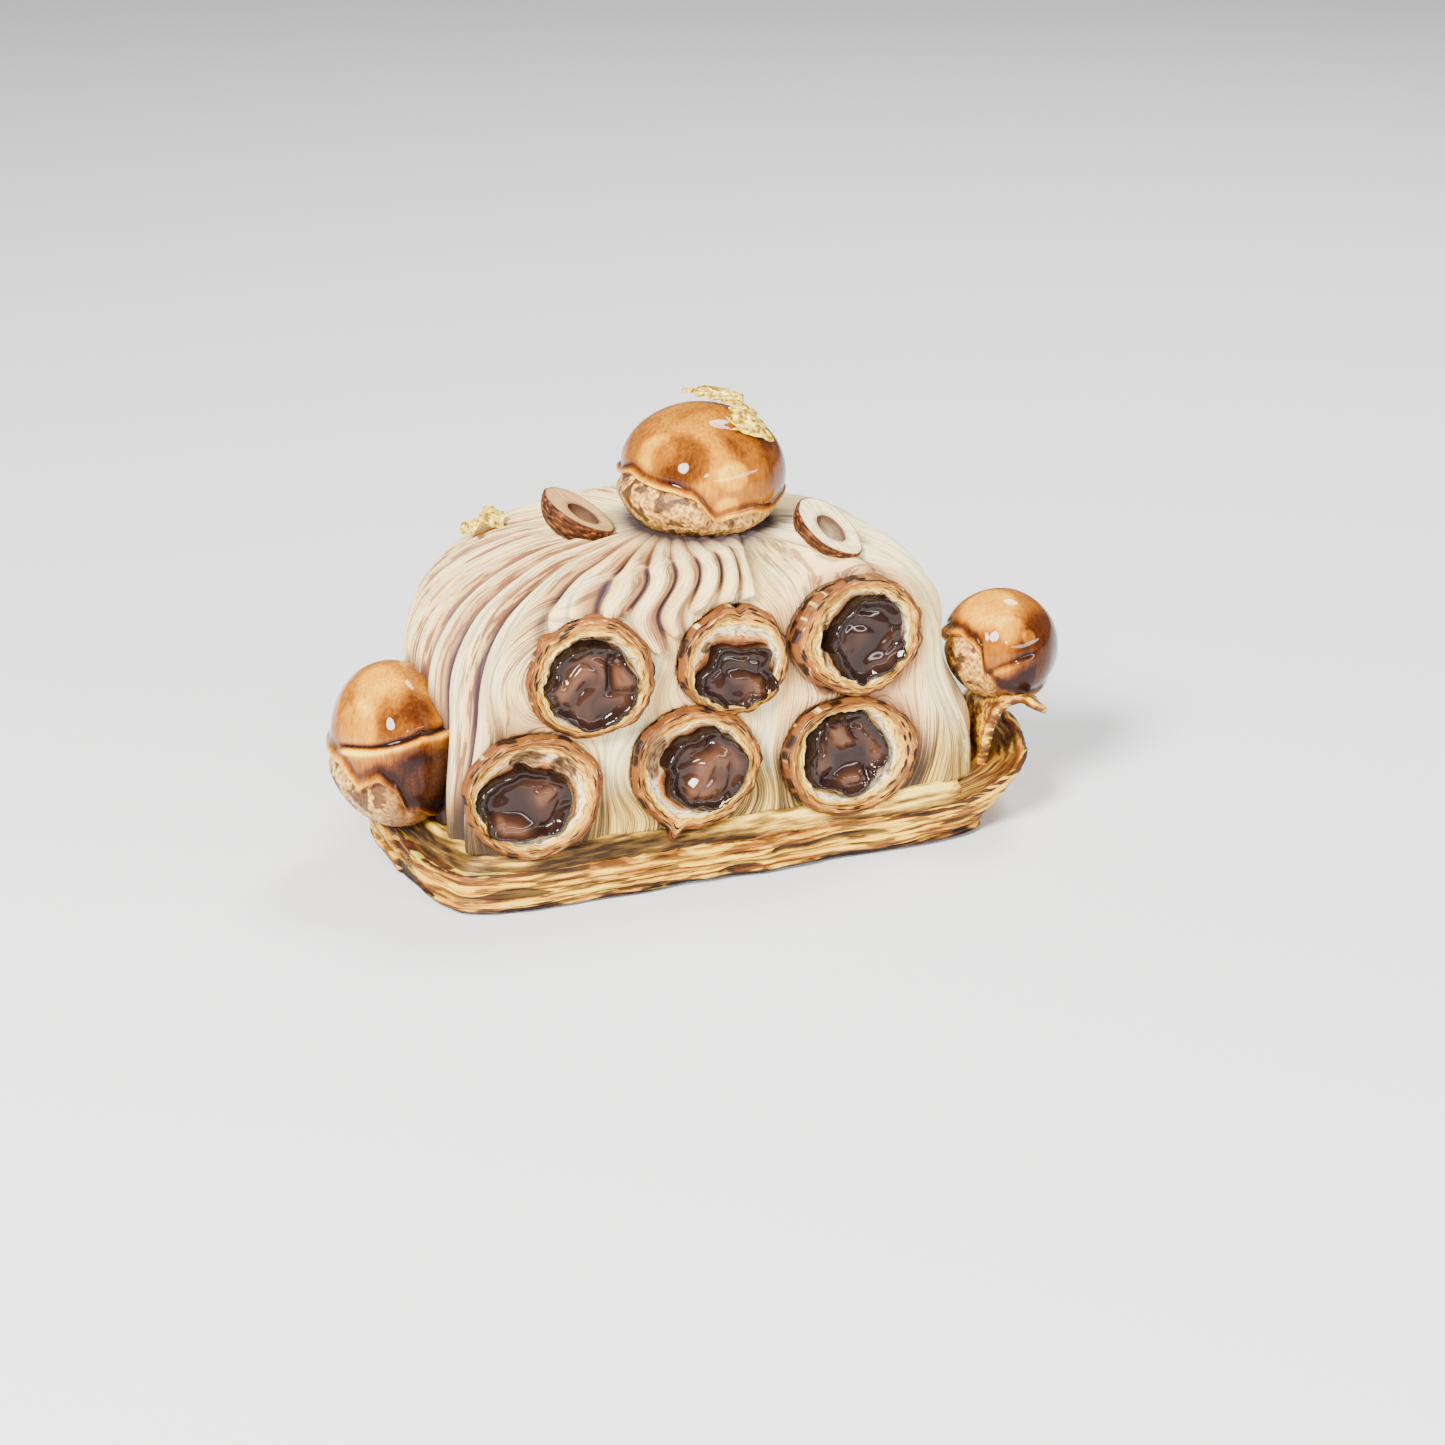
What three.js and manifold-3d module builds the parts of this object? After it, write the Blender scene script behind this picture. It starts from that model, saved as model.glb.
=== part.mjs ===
// Saint Honore cake with its front slice cut away. A puff pastry disc carries creme patissiere and
// a ribbed dome of whipped cream. The cut shows six halved choux filled with praline. Whole choux
// dipped in caramel stand on top and round the foot, with hazelnut halves and gold leaf.
// Millimetres, +Z up. The pieces are laid out about the middle of the pastry, the cut faces -Y,
// and the whole is then moved so that the middle of its footprint is the origin.
import * as THREE from "three";
import { mergeVertices } from "three/addons/utils/BufferGeometryUtils.js";
import Module from "manifold-3d";

const wasm = await Module();
wasm.setup();

// Driving dimensions
const FOOTPRINT_MIDDLE = { x: 0.3, y: 23.8 };
const GAP = 0.35;
const PASTRY = {
  radius: 75.3, cut: 37.8, corner: 15, thick: 9.2, floor: 8.4, tuck: 5.5,
  flare: 14.5, flareRise: 9.8, ledge: 1.4, ledgeAt: 190, segments: 54,
};
const CURL = {
  from: -25, to: -3, thick: 3.0, lower: 0.35, narrower: 0.6,
  spine: [[70.6, 6.2], [71.4, 12], [72.2, 18.5], [73.8, 26.8], [77.8, 31], [82.6, 31.6], [87, 29]],
};
const CREME = { bottom: PASTRY.floor + GAP, top: 13.6, inset: 3.2, slope: 2.4 };
const DOME = {
  x: -2, radius: 63.5, waist: 43, top: 76.5, bottom: CREME.top + GAP, power: 2.55, flare: 7.5,
  nip: 1.6, nipAt: 346, ribs: 44, ribDepth: 2.6, ribSpread: 0.35, shoulder: 0.74,
};
const DENT = { at: 184, depth: 8, width: 20 };
const FACE = { foot: 31.8, lean: 0.12, corner: 7, scoopX: 15, scoopWidth: 11, scoopDepth: 0.4 };
const TIPS = {
  left: -54, right: 5, height: 65, lowest: 55, lowestAt: -16, outer: 52, proud: 3.2,
  sway: 0.3, swayLength: 18,
};
const SHELL = { depth: 13, segments: 18, lean: 0.12, rough: 0.03, hollowDepth: 8.6 };
const COAT = { gap: 0.7, thick: 0.9, bead: 0.5, rings: 5, clearance: 0.24 };
const CHOUX_SEGMENTS = 18;
const CHOUX_RINGS = 9;
const NUT = { long: 8.7, wide: 6.9, deep: 7.4 };
const LEAF_THICK = 0.35;

// The halved choux of the cut: centre of the rim, half width and height, turn to the side, then
// centre and half sizes of the hollow and of the praline in it, measured from the rim's centre
const HALVED_CHOUX = [
  {
    name: "lower_left", at: [-49.4, -33.2, 26.8], wide: 15.8, high: 14.3, turn: -0.10,
    hollow: [-0.6, -0.6, 12.2, 10.6], fill: [-1.7, -2.4, 11.2, 8.0],
  },
  {
    name: "lower_middle", at: [-10.1, -33.2, 27.6], wide: 15.5, high: 14.1, turn: 0.0,
    hollow: [0.3, -0.6, 12.3, 10.8], fill: [1.5, -1.3, 11.0, 9.8],
  },
  {
    name: "lower_right", at: [28.8, -33.5, 24.5], wide: 17.3, high: 13.9, turn: 0.06,
    hollow: [-0.6, 0.4, 12.2, 11.0], fill: [-1.0, 0.8, 10.6, 10.4],
  },
  {
    name: "upper_left", at: [-34.0, -29.6, 51.8], wide: 14.4, high: 13.9, turn: -0.12,
    hollow: [0.2, -1.4, 11.0, 10.8], fill: [0.4, -3.2, 10.2, 9.6],
  },
  {
    name: "upper_middle", at: [0.8, -29.4, 51.1], wide: 13.4, high: 12.6, turn: 0.04,
    hollow: [0.5, -1.6, 10.8, 9.8], fill: [1.1, -4.6, 9.8, 7.8],
  },
  {
    name: "upper_right", at: [32.0, -29.6, 52.8], wide: 16.7, high: 13.8, turn: 0.12,
    hollow: [1.6, -0.6, 11.6, 10.8], fill: [2.8, -1.5, 10.2, 10.3],
  },
];

// The whole choux: centre, half sizes, how much fuller the bare part below the caramel is than an
// ellipsoid, and how far down the caramel reaches on each side
const WHOLE_CHOUX = [
  { name: "top", at: [4.0, -1.0, 87.3], half: [17.9, 17.9, 14.9], belly: 2.6, reach: 1.74, dip: 0.26, dipAt: -0.8 },
  { name: "left", at: [-72.0, 0, 30.0], half: [13.2, 17.6, 18.5], belly: 2.2, reach: 1.82, dip: 0.2, dipAt: -0.3 },
  { name: "right", at: [74.1, -20, 41.0], half: [12.4, 12.4, 12.6], belly: 0.8, reach: 1.85, dip: 0.52, dipAt: -0.7 },
  { name: "back", at: [-1.0, 71.5, 28.2], half: [16.8, 13.4, 16.6], belly: 1.6, reach: 1.70, dip: 0.16, dipAt: 2.6 },
];

// The hazelnut halves: middle of the cut face, direction of the length, direction the face looks
const HAZELNUTS = [
  { name: "left", at: [-26.2, 0.5, 81.6], length: [0.715, -0.499, -0.482], face: [0.386, -0.299, 0.874] },
  { name: "right", at: [28.6, -19.0, 76.9], length: [0.610, -0.512, -0.609], face: [0.304, -0.557, 0.766] },
];

// Directions from the top choux's centre along which its gold leaf lies, the leaf's half width, and
// how far its narrow part stands up behind, as a share of the distance from that centre
const DRAPED_LEAF = {
  along: [[-1.5, 6.2, 17.0], [5.5, 0.6, 17.0], [8.2, -5.8, 15.3], [6.4, -12.4, 11.2]],
  half: 4.2, raised: 0.09,
};
const LOOSE_LEAF = { at: [-41.5, 24.0, 73.6], half: [4.8, 3.3], rise: 1.8 };

function smoothStep(low, high, value) {
  const t = Math.min(Math.max((value - low) / (high - low), 0), 1);
  return t * t * (3 - 2 * t);
}

function smoothMin(a, b, width) {
  const h = Math.max(width - Math.abs(a - b), 0) / width;
  return Math.min(a, b) - h * h * width / 4;
}

// A wave round a circle that never repeats itself exactly, between about -1 and 1
function ripple(angle, waves, seed) {
  const slow = Math.sin(waves * angle + seed);
  const fast = Math.sin((2 * waves + 1) * angle + 2.3 * seed);
  return 0.65 * slow + 0.35 * fast;
}

// Turning and lofting
function welded(geometry) {
  geometry.deleteAttribute("normal");
  geometry.deleteAttribute("uv");
  const merged = mergeVertices(geometry, 1e-4);
  const index = merged.index.array;
  const kept = [];
  for (let i = 0; i < index.length; i += 3) {
    const [a, b, c] = [index[i], index[i + 1], index[i + 2]];
    if (a !== b && b !== c && c !== a) kept.push(a, b, c);
  }
  merged.setIndex(kept);
  return facingOut(merged);
}

function facingOut(geometry) {
  const position = geometry.attributes.position;
  const index = geometry.index.array;
  const [a, b, c] = [new THREE.Vector3(), new THREE.Vector3(), new THREE.Vector3()];
  let volume = 0;
  for (let i = 0; i < index.length; i += 3) {
    a.fromBufferAttribute(position, index[i]);
    b.fromBufferAttribute(position, index[i + 1]);
    c.fromBufferAttribute(position, index[i + 2]);
    volume += a.dot(b.cross(c));
  }
  if (volume < 0) geometry.setIndex(Array.from(index).reverse());
  return geometry;
}

// A profile of [radius, height] pairs turned round Z, each point then put in place by its own rule
function turned(profile, segments, place) {
  const points = profile.map(([radius, height]) => new THREE.Vector2(radius, height));
  const geometry = new THREE.LatheGeometry(points, segments);
  const position = geometry.attributes.position;
  for (let i = 0; i < position.count; i++) {
    const step = i % points.length;
    const angle = 2 * Math.PI * (Math.floor(i / points.length) % segments) / segments;
    const p = place(profile[step][0], angle, profile[step][1], step);
    position.setXYZ(i, p.x, p.y, p.z);
  }
  return welded(geometry);
}

// A sphere whose points are put in place by azimuth and polar angle
function ball(segments, rings, place) {
  const profile = [];
  for (let i = 0; i <= rings; i++) profile.push([Math.sin(Math.PI * i / rings), i / rings]);
  profile[rings][0] = 0;
  return turned(profile, segments, (radius, angle, step) => place(angle, step * Math.PI));
}

// A thin sheet over a grid: the same triangles on both faces, joined round the edge
function sheet(columns, rows, thick, place) {
  const plane = new THREE.PlaneGeometry(2, 2, columns, rows);
  const flat = plane.attributes.position;
  const count = flat.count;
  const points = [];
  for (const side of [0.5, -0.5]) {
    for (let i = 0; i < count; i++) {
      const p = place(flat.getX(i), flat.getY(i));
      points.push(p.x, p.y, p.z + side * thick);
    }
  }
  const faces = Array.from(plane.index.array);
  const index = [...faces];
  for (let i = 0; i < faces.length; i += 3) {
    index.push(faces[i] + count, faces[i + 2] + count, faces[i + 1] + count);
  }
  const loop = [];
  const width = columns + 1;
  for (let i = 0; i < columns; i++) loop.push(i);
  for (let i = 0; i < rows; i++) loop.push(columns + i * width);
  for (let i = columns; i > 0; i--) loop.push(rows * width + i);
  for (let i = rows; i > 0; i--) loop.push(i * width);
  loop.forEach((a, i) => {
    const b = loop[(i + 1) % loop.length];
    index.push(a, b, b + count, a, b + count, a + count);
  });
  const geometry = new THREE.BufferGeometry();
  geometry.setAttribute("position", new THREE.Float32BufferAttribute(points, 3));
  geometry.setIndex(index);
  return facingOut(geometry);
}

// Joining and cutting
function toSolid(geometry) {
  return new wasm.Manifold(new wasm.Mesh({
    numProp: 3,
    vertProperties: new Float32Array(geometry.attributes.position.array),
    triVerts: new Uint32Array(geometry.index.array),
  }));
}

function toGeometry(solid) {
  const mesh = solid.getMesh();
  const geometry = new THREE.BufferGeometry();
  geometry.setAttribute("position", new THREE.BufferAttribute(new Float32Array(mesh.vertProperties), 3));
  geometry.setIndex(Array.from(mesh.triVerts));
  return geometry;
}

function cutBy(geometry, cutters) {
  const solid = cutters.reduce((body, cutter) => body.subtract(toSolid(cutter)), toSolid(geometry));
  return toGeometry(solid);
}

function placed(geometry, matrix) {
  return geometry.clone().applyMatrix4(matrix);
}

// Puff pastry: a disc with its front cut straight, flaky layers round its side, and a right end
// that flares up and ends in a thin curled flake
function pastryRadius(azimuth) {
  const round = PASTRY.radius + 0.9 * ripple(azimuth, 5, 0.7) - PASTRY.tuck * pastryFlare(azimuth);
  const front = PASTRY.cut / Math.max(-Math.sin(azimuth), 1e-3) + 0.5 * ripple(azimuth, 9, 2.0);
  return Math.sin(azimuth) < 0 ? smoothMin(round, front, PASTRY.corner) : round;
}

function pastryFlare(azimuth) {
  const centre = THREE.MathUtils.degToRad((CURL.from + CURL.to) / 2);
  const spread = THREE.MathUtils.degToRad(17);
  const away = Math.atan2(Math.sin(azimuth - centre), Math.cos(azimuth - centre)) / spread;
  return Math.exp(-away * away * away * away);
}

function pastryDisc() {
  const profile = [
    [0, 0], [-4, 0], [-0.9, 0.5], [0.2, 1.8], [-1.0, 2.8], [0.5, 4.0], [-0.8, 5.2], [0.5, 6.3],
    [-0.5, 7.5], [-0.5, PASTRY.thick], [-1.4, PASTRY.thick + 0.2], [-2.4, PASTRY.floor], [0, PASTRY.floor],
  ];
  const last = profile.length - 1;
  const ledgeAt = THREE.MathUtils.degToRad(PASTRY.ledgeAt);
  const rings = profile.map(([, z], i) => [i === 0 || i === last ? 0 : 1, z]);
  return turned(rings, PASTRY.segments, (radius, azimuth, z, step) => {
    if (radius === 0) return new THREE.Vector3(0, 0, z);
    const lift = step < last - 1 ? pastryFlare(azimuth) * smoothStep(2, PASTRY.thick, z) : 0;
    const rough = step > 1 && step < last - 1 ? 0.45 * ripple(azimuth, 6 + 2 * step, step) : 0;
    const reach = pastryRadius(azimuth) + profile[step][0] + rough + PASTRY.flare * lift;
    const nearLedge = Math.exp(-(((azimuth - ledgeAt) / 0.5) ** 2));
    const ledge = PASTRY.ledge * nearLedge * smoothStep(4, PASTRY.thick, z);
    const wave = step > 2 && step < last - 1 ? 0.25 * ripple(azimuth, 5, 3 * step) + ledge : 0;
    return new THREE.Vector3(
      reach * Math.cos(azimuth), reach * Math.sin(azimuth), z + wave + PASTRY.flareRise * lift);
  });
}

function pastryCurl() {
  const middle = new THREE.CatmullRomCurve3(CURL.spine.map(([radius, z]) => new THREE.Vector3(radius, z, 0)));
  const steps = 8;
  const outline = [];
  for (const side of [1, -1]) {
    for (let i = 0; i <= steps; i++) {
      const t = side > 0 ? i / steps : 1 - i / steps;
      const p = middle.getPoint(t);
      const along = middle.getTangent(t);
      const half = side * CURL.thick * (0.62 - 0.2 * t) * 0.8;
      outline.push(new THREE.Vector2(p.x - along.y * half, p.y + along.x * half));
    }
  }
  const across = { depth: 1, steps: 5, bevelEnabled: false };
  const geometry = new THREE.ExtrudeGeometry(new THREE.Shape(outline), across);
  const position = geometry.attributes.position;
  const [root, foot] = CURL.spine[0];
  for (let i = 0; i < position.count; i++) {
    const share = position.getZ(i);
    const azimuth = THREE.MathUtils.degToRad(CURL.from + (CURL.to - CURL.from) * share);
    const reach = root + (position.getX(i) - root) * (1 - CURL.narrower * share);
    const z = foot + (position.getY(i) - foot) * (1 - CURL.lower * share * share);
    position.setXYZ(i, reach * Math.cos(azimuth), reach * Math.sin(azimuth), z);
  }
  return welded(geometry);
}

// Creme patissiere: a soft layer over the pastry, sloping down to its rim
function cremeLayer() {
  const { bottom, top, inset, slope } = CREME;
  const profile = [[0, bottom], [1, bottom], [1, bottom + 1.6], [1, top - 1.4], [1, top], [0, top]];
  const drawnIn = [0, inset, inset - 0.2, inset + 0.7, inset + slope, 0];
  return turned(profile, PASTRY.segments, (radius, azimuth, z, step) => {
    if (radius === 0) return new THREE.Vector3(0, 0, z);
    const reach = pastryRadius(azimuth) - drawnIn[step] + (step > 1 ? 0.35 * ripple(azimuth, 8, step) : 0);
    return new THREE.Vector3(reach * Math.cos(azimuth), reach * Math.sin(azimuth), z);
  });
}

// Whipped cream: a ribbed dome, cut off in front, where the ends of the ribs hang over the cut
function tipHeight(x) {
  const outer = (TIPS.height - TIPS.outer) * (1 - smoothStep(TIPS.left, TIPS.left + 8, x));
  const middle = (TIPS.height - TIPS.lowest) * Math.exp(-(((x - TIPS.lowestAt) / 6) ** 2));
  return TIPS.height - outer - middle;
}

function domeSection(azimuth, along) {
  const quarter = Math.min(along / DOME.shoulder, 1) * Math.PI / 2;
  const below = Math.max(along - DOME.shoulder, 0) / (1 - DOME.shoulder);
  const bend = 2 / DOME.power;
  const degrees = THREE.MathUtils.euclideanModulo(THREE.MathUtils.radToDeg(azimuth), 360);
  const dent = DENT.depth * Math.exp(-(((degrees - DENT.at) / DENT.width) ** 2));
  const nipped = Math.exp(-(((along - 0.72) / 0.08) ** 2)) + smoothStep(0.85, 0.97, along);
  const nip = DOME.nip * Math.exp(-(((degrees - DOME.nipAt) / 14) ** 2)) * nipped;
  return {
    reach: DOME.radius * Math.sin(quarter) ** bend
      + (DOME.flare - dent) * smoothStep(0, 0.8, below) - nip,
    z: DOME.waist + (DOME.top - DOME.waist) * Math.max(Math.cos(quarter), 0) ** bend
      - (DOME.waist - DOME.bottom) * below,
    out: Math.sin(quarter),
    up: Math.max(Math.cos(quarter), 0),
  };
}

function faceDistance(azimuth, z) {
  if (Math.sin(azimuth) >= 0) return Infinity;
  const straight = (FACE.foot - FACE.lean * (z - DOME.bottom)) / -Math.sin(azimuth);
  const x = DOME.x + straight * Math.cos(azimuth);
  const scoop = Math.exp(-(((x - FACE.scoopX) / FACE.scoopWidth) ** 2)) * smoothStep(60, 76, z);
  return straight * (1 - FACE.scoopDepth * scoop);
}

// The ribs stand further apart in front: the azimuth that a rib's own count comes to
function ribAzimuth(turn) {
  let azimuth = turn;
  for (let i = 0; i < 30; i++) azimuth = turn + DOME.ribSpread * Math.cos(azimuth);
  return azimuth;
}

// The dome before it has ribs: its section, cut off by the face
function smoothDome(azimuth, along) {
  const section = domeSection(azimuth, along);
  const face = faceDistance(azimuth, section.z);
  const radius = Math.min(section.reach, smoothMin(section.reach, face, FACE.corner));
  return { ...section, radius, x: DOME.x + radius * Math.cos(azimuth) };
}

// In the middle of the front the ribs hang in an S, by this share of a rib's width
function ribSway(azimuth, along) {
  const { x, z } = smoothDome(azimuth, along);
  const inFront = Math.sin(azimuth) < 0 ? 1 : 0;
  const middle = smoothStep(-34, -22, x) * (1 - smoothStep(6, 14, x)) * inFront;
  return TIPS.sway * middle * Math.sin((z - DOME.top) / TIPS.swayLength * 2 * Math.PI);
}

function domePoint(turn, along) {
  const sway = ribSway(ribAzimuth(turn), along);
  const azimuth = ribAzimuth(turn - sway * 2 * Math.PI / DOME.ribs);
  const { reach, z, out, up, radius, x } = smoothDome(azimuth, along);
  const onFace = smoothStep(0, 5, reach - radius);
  const rib = Math.abs(Math.sin(DOME.ribs * turn / 2));
  const hanging = onFace * smoothStep(-4, 0, z - tipHeight(x))
    * smoothStep(TIPS.left - 6, TIPS.left, x) * (1 - smoothStep(TIPS.right, TIPS.right + 4, x));
  const depth = DOME.ribDepth * smoothStep(6, 42, radius) * (1 - onFace) * (rib - 0.6)
    + TIPS.proud * hanging * rib;
  const outward = onFace > 0.5 ? 1 : out;
  return new THREE.Vector3(
    DOME.x + (radius + depth * outward) * Math.cos(azimuth),
    (radius + depth * outward) * Math.sin(azimuth),
    z + depth * up * (1 - onFace));
}

function creamDome() {
  const rings = 10;
  return ball(DOME.ribs * 3, rings, (turn, polar) => {
    const step = Math.round(polar / Math.PI * rings);
    if (step === rings) return new THREE.Vector3(DOME.x, 0, DOME.bottom);
    if (step === 0) return new THREE.Vector3(DOME.x, 0, DOME.top);
    return domePoint(turn, step / (rings - 1));
  });
}

// Halved choux: a half ball of crust and crumb with an uneven edge and a hollow, its mouth facing
// local +Z. The praline fills the hollow up to a folded top with a ragged outline.
const HALF_OUTSIDE = [[0, -1], [0.5, -0.866], [0.86, -0.5], [1.0, -0.06]];

function halfBallPoint(choux, seed, radius, angle, height, grow) {
  const edge = 1 + SHELL.rough * ripple(angle, 3, seed);
  return new THREE.Vector3(
    radius * (choux.wide * edge + grow) * Math.cos(angle),
    radius * (choux.high * edge + grow) * Math.sin(angle),
    height * (SHELL.depth + grow));
}

function chouxHalf(choux, seed) {
  const profile = [...HALF_OUTSIDE, [0.93, 0.06], [0, 0.02]];
  return turned(profile, SHELL.segments, (radius, angle, height) =>
    halfBallPoint(choux, seed, radius, angle, height, 0));
}

function halfSocket(choux, seed) {
  const profile = [...HALF_OUTSIDE, [1.0, 0.3], [0, 0.6]];
  return turned(profile, SHELL.segments, (radius, angle, height) =>
    halfBallPoint(choux, seed, radius, angle, height, GAP));
}

function hollow(choux, seed, grow) {
  const [x, y, wide, high] = choux.hollow;
  const profile = [[0, -1], [0.5, -0.86], [0.86, -0.45], [1, 0], [1.02, 0.5], [0, 0.5]];
  return turned(profile, 16, (radius, angle, height) => {
    const edge = 1 + 0.05 * ripple(angle, 4, 2 + seed);
    return new THREE.Vector3(
      x + radius * (wide * edge + grow) * Math.cos(angle),
      y + radius * (high * edge + grow) * Math.sin(angle),
      height * (SHELL.hollowDepth + grow));
  });
}

function chouxShell(choux, seed) {
  return cutBy(chouxHalf(choux, seed), [hollow(choux, seed, 0)]);
}

function pralineFilling(choux, seed) {
  const [x, y, wide, high] = choux.fill;
  const profile = [[0, -9], [0.7, -9], [1, -5], [0.98, -1.6], [0.6, -0.9], [0.25, -1.6], [0, -0.8]];
  const lump = turned(profile, 16, (radius, angle, height, step) => {
    const ragged = step > 1 ? 1 + 0.07 * ripple(angle, 4, 5 + seed) : 1;
    const fold = step > 3 && radius > 0 ? 0.5 * ripple(angle, 2, seed) : 0;
    return new THREE.Vector3(
      x + radius * ragged * wide * Math.cos(angle),
      y + radius * ragged * high * Math.sin(angle),
      height + fold);
  });
  return toGeometry(toSolid(lump).intersect(toSolid(hollow(choux, seed, -GAP))));
}

// Whole choux and the caramel that covers the upper part
function coatEdge(choux, azimuth) {
  return choux.reach + choux.dip * Math.cos(azimuth - choux.dipAt) + 0.07 * ripple(azimuth, 4, choux.half[0]);
}

function chouxPoint(choux, azimuth, polar, grow, belly = 0) {
  const bump = 1 + 0.022 * ripple(azimuth, 3, choux.half[2]) * Math.sin(polar) ** 2;
  const edge = coatEdge(choux, azimuth);
  const wide = grow + belly * smoothStep(edge, edge + 0.45, polar);
  const [a, b, c] = choux.half;
  return new THREE.Vector3(
    (a * bump + wide) * Math.sin(polar) * Math.cos(azimuth),
    (b * bump + wide) * Math.sin(polar) * Math.sin(azimuth),
    (c * bump + grow) * Math.cos(polar));
}

function wholeChoux(choux) {
  return ball(CHOUX_SEGMENTS, CHOUX_RINGS, (azimuth, polar) =>
    chouxPoint(choux, azimuth, polar, 0, choux.belly));
}

function caramelCoat(choux) {
  const rings = COAT.rings;
  const profile = [];
  for (let i = 0; i <= 2 * rings + 1; i++) profile.push([i === 0 || i === 2 * rings + 1 ? 0 : 1, i]);
  return turned(profile, CHOUX_SEGMENTS, (radius, azimuth, height, step) => {
    const outside = step <= rings;
    const share = outside ? step / rings : (2 * rings + 1 - step) / rings;
    const bead = COAT.bead * smoothStep(0.7, 1, share);
    const grow = outside ? COAT.gap + COAT.thick + bead : COAT.gap;
    return chouxPoint(choux, azimuth, share * coatEdge(choux, azimuth), grow);
  });
}

function chouxSocket(choux) {
  const grow = COAT.gap + COAT.thick + COAT.bead + GAP;
  return ball(CHOUX_SEGMENTS, CHOUX_RINGS + 3, (azimuth, polar) => {
    const bare = smoothStep(0, 0.2, polar - coatEdge(choux, azimuth) - COAT.clearance);
    return chouxPoint(choux, azimuth, polar, grow * (1 - bare) + GAP * bare, choux.belly);
  });
}

// Hazelnut half: a rounded pointed body with a flat cut face and a small hollow in it
function hazelnutHalf(grow) {
  const outside = [[0, -1], [0.5, -0.86], [0.85, -0.5], [1, -0.08], [0.95, 0.05]];
  const profile = [...outside, [0.4, 0.02], [0.26, -0.26], [0, -0.3]];
  return turned(profile, 16, (radius, angle, height) => {
    const point = 1 + 0.16 * Math.max(Math.cos(angle), 0) ** 6;
    return new THREE.Vector3(
      radius * (NUT.long * point + grow) * Math.cos(angle),
      radius * (NUT.wide + grow) * Math.sin(angle),
      height * (NUT.deep + grow));
  });
}

function nutMatrix(nut) {
  const z = new THREE.Vector3(...nut.face).normalize();
  const y = new THREE.Vector3().crossVectors(z, new THREE.Vector3(...nut.length)).normalize();
  const x = new THREE.Vector3().crossVectors(y, z);
  return new THREE.Matrix4().makeBasis(x, y, z).setPosition(...nut.at);
}

// Gold leaf: one torn strip draped over the top choux, one crumpled flake on the cream
function drapedLeaf(choux) {
  const spine = new THREE.CatmullRomCurve3(DRAPED_LEAF.along.map((p) => new THREE.Vector3(...p)));
  const grow = COAT.gap + COAT.thick + LEAF_THICK;
  const half = choux.half.map((side) => side * 1.025 + grow);
  return sheet(12, 3, LEAF_THICK, (u, v) => {
    const t = (u + 1) / 2;
    const point = spine.getPoint(t);
    const side = spine.getTangent(t).cross(point).normalize();
    const torn = 1 - 0.55 * (1 - smoothStep(0, 0.4, t)) + 0.22 * Math.sin(17 * t + 2 * v);
    const flat = point.addScaledVector(side, v * DRAPED_LEAF.half * torn);
    const size = Math.hypot(flat.x / half[0], flat.y / half[1], flat.z / half[2]);
    const standing = DRAPED_LEAF.raised * (1 - smoothStep(0.3, 0.7, t)) * (1 - v) / 2;
    const lift = 1.025 + standing + 0.03 * Math.exp(-t * 9) + 0.035 * (1 + Math.sin(9 * t + 1.6 * v)) / 2;
    return flat.multiplyScalar(lift / size);
  });
}

function looseLeaf() {
  const [long, wide] = LOOSE_LEAF.half;
  return sheet(7, 4, LEAF_THICK, (u, v) => {
    const star = 1 + 0.3 * ripple(Math.atan2(v, u), 5, 1.3) * Math.max(Math.abs(u), Math.abs(v));
    const crumple = Math.sin(3.1 * u + 0.6) * Math.cos(2.4 * v) + 0.6 * u * v;
    return new THREE.Vector3(long * u * star, wide * v * star, LOOSE_LEAF.rise * crumple);
  });
}

// Assembly
const finish = (color, roughness, metalness = 0) =>
  new THREE.MeshStandardMaterial({ color, roughness, metalness });
const cake = new THREE.Group();
cake.position.set(-FOOTPRINT_MIDDLE.x, -FOOTPRINT_MIDDLE.y, 0);

function addMesh(name, geometry, material) {
  const mesh = new THREE.Mesh(geometry, material);
  mesh.name = name;
  cake.add(mesh);
  return mesh;
}

const socketsInCream = [];
const socketsInPastry = [];

HALVED_CHOUX.forEach((choux, seed) => {
  const shell = addMesh(`choux_shell_${choux.name}`, chouxShell(choux, seed), finish(0xc98a4b, 0.75));
  const praline = addMesh(`praline_${choux.name}`, pralineFilling(choux, seed), finish(0x5a3526, 0.3));
  for (const mesh of [shell, praline]) {
    mesh.position.set(...choux.at);
    mesh.rotation.set(Math.PI / 2 - SHELL.lean, choux.turn, 0);
    mesh.updateMatrix();
  }
  socketsInCream.push(placed(halfSocket(choux, seed), shell.matrix));
});

WHOLE_CHOUX.forEach((choux) => {
  const bun = addMesh(`choux_${choux.name}`, wholeChoux(choux), finish(0xd9b07a, 0.7));
  const coat = addMesh(`caramel_${choux.name}`, caramelCoat(choux), finish(0xc07a2c, 0.15));
  for (const mesh of [bun, coat]) {
    mesh.position.set(...choux.at);
    mesh.updateMatrix();
  }
  const socket = placed(chouxSocket(choux), bun.matrix);
  socketsInCream.push(socket);
  socketsInPastry.push(socket);
});

HAZELNUTS.forEach((nut) => {
  const half = addMesh(`hazelnut_${nut.name}`, hazelnutHalf(0), finish(0x9a6238, 0.6));
  half.applyMatrix4(nutMatrix(nut));
  socketsInCream.push(placed(hazelnutHalf(GAP), nutMatrix(nut)));
});

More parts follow.
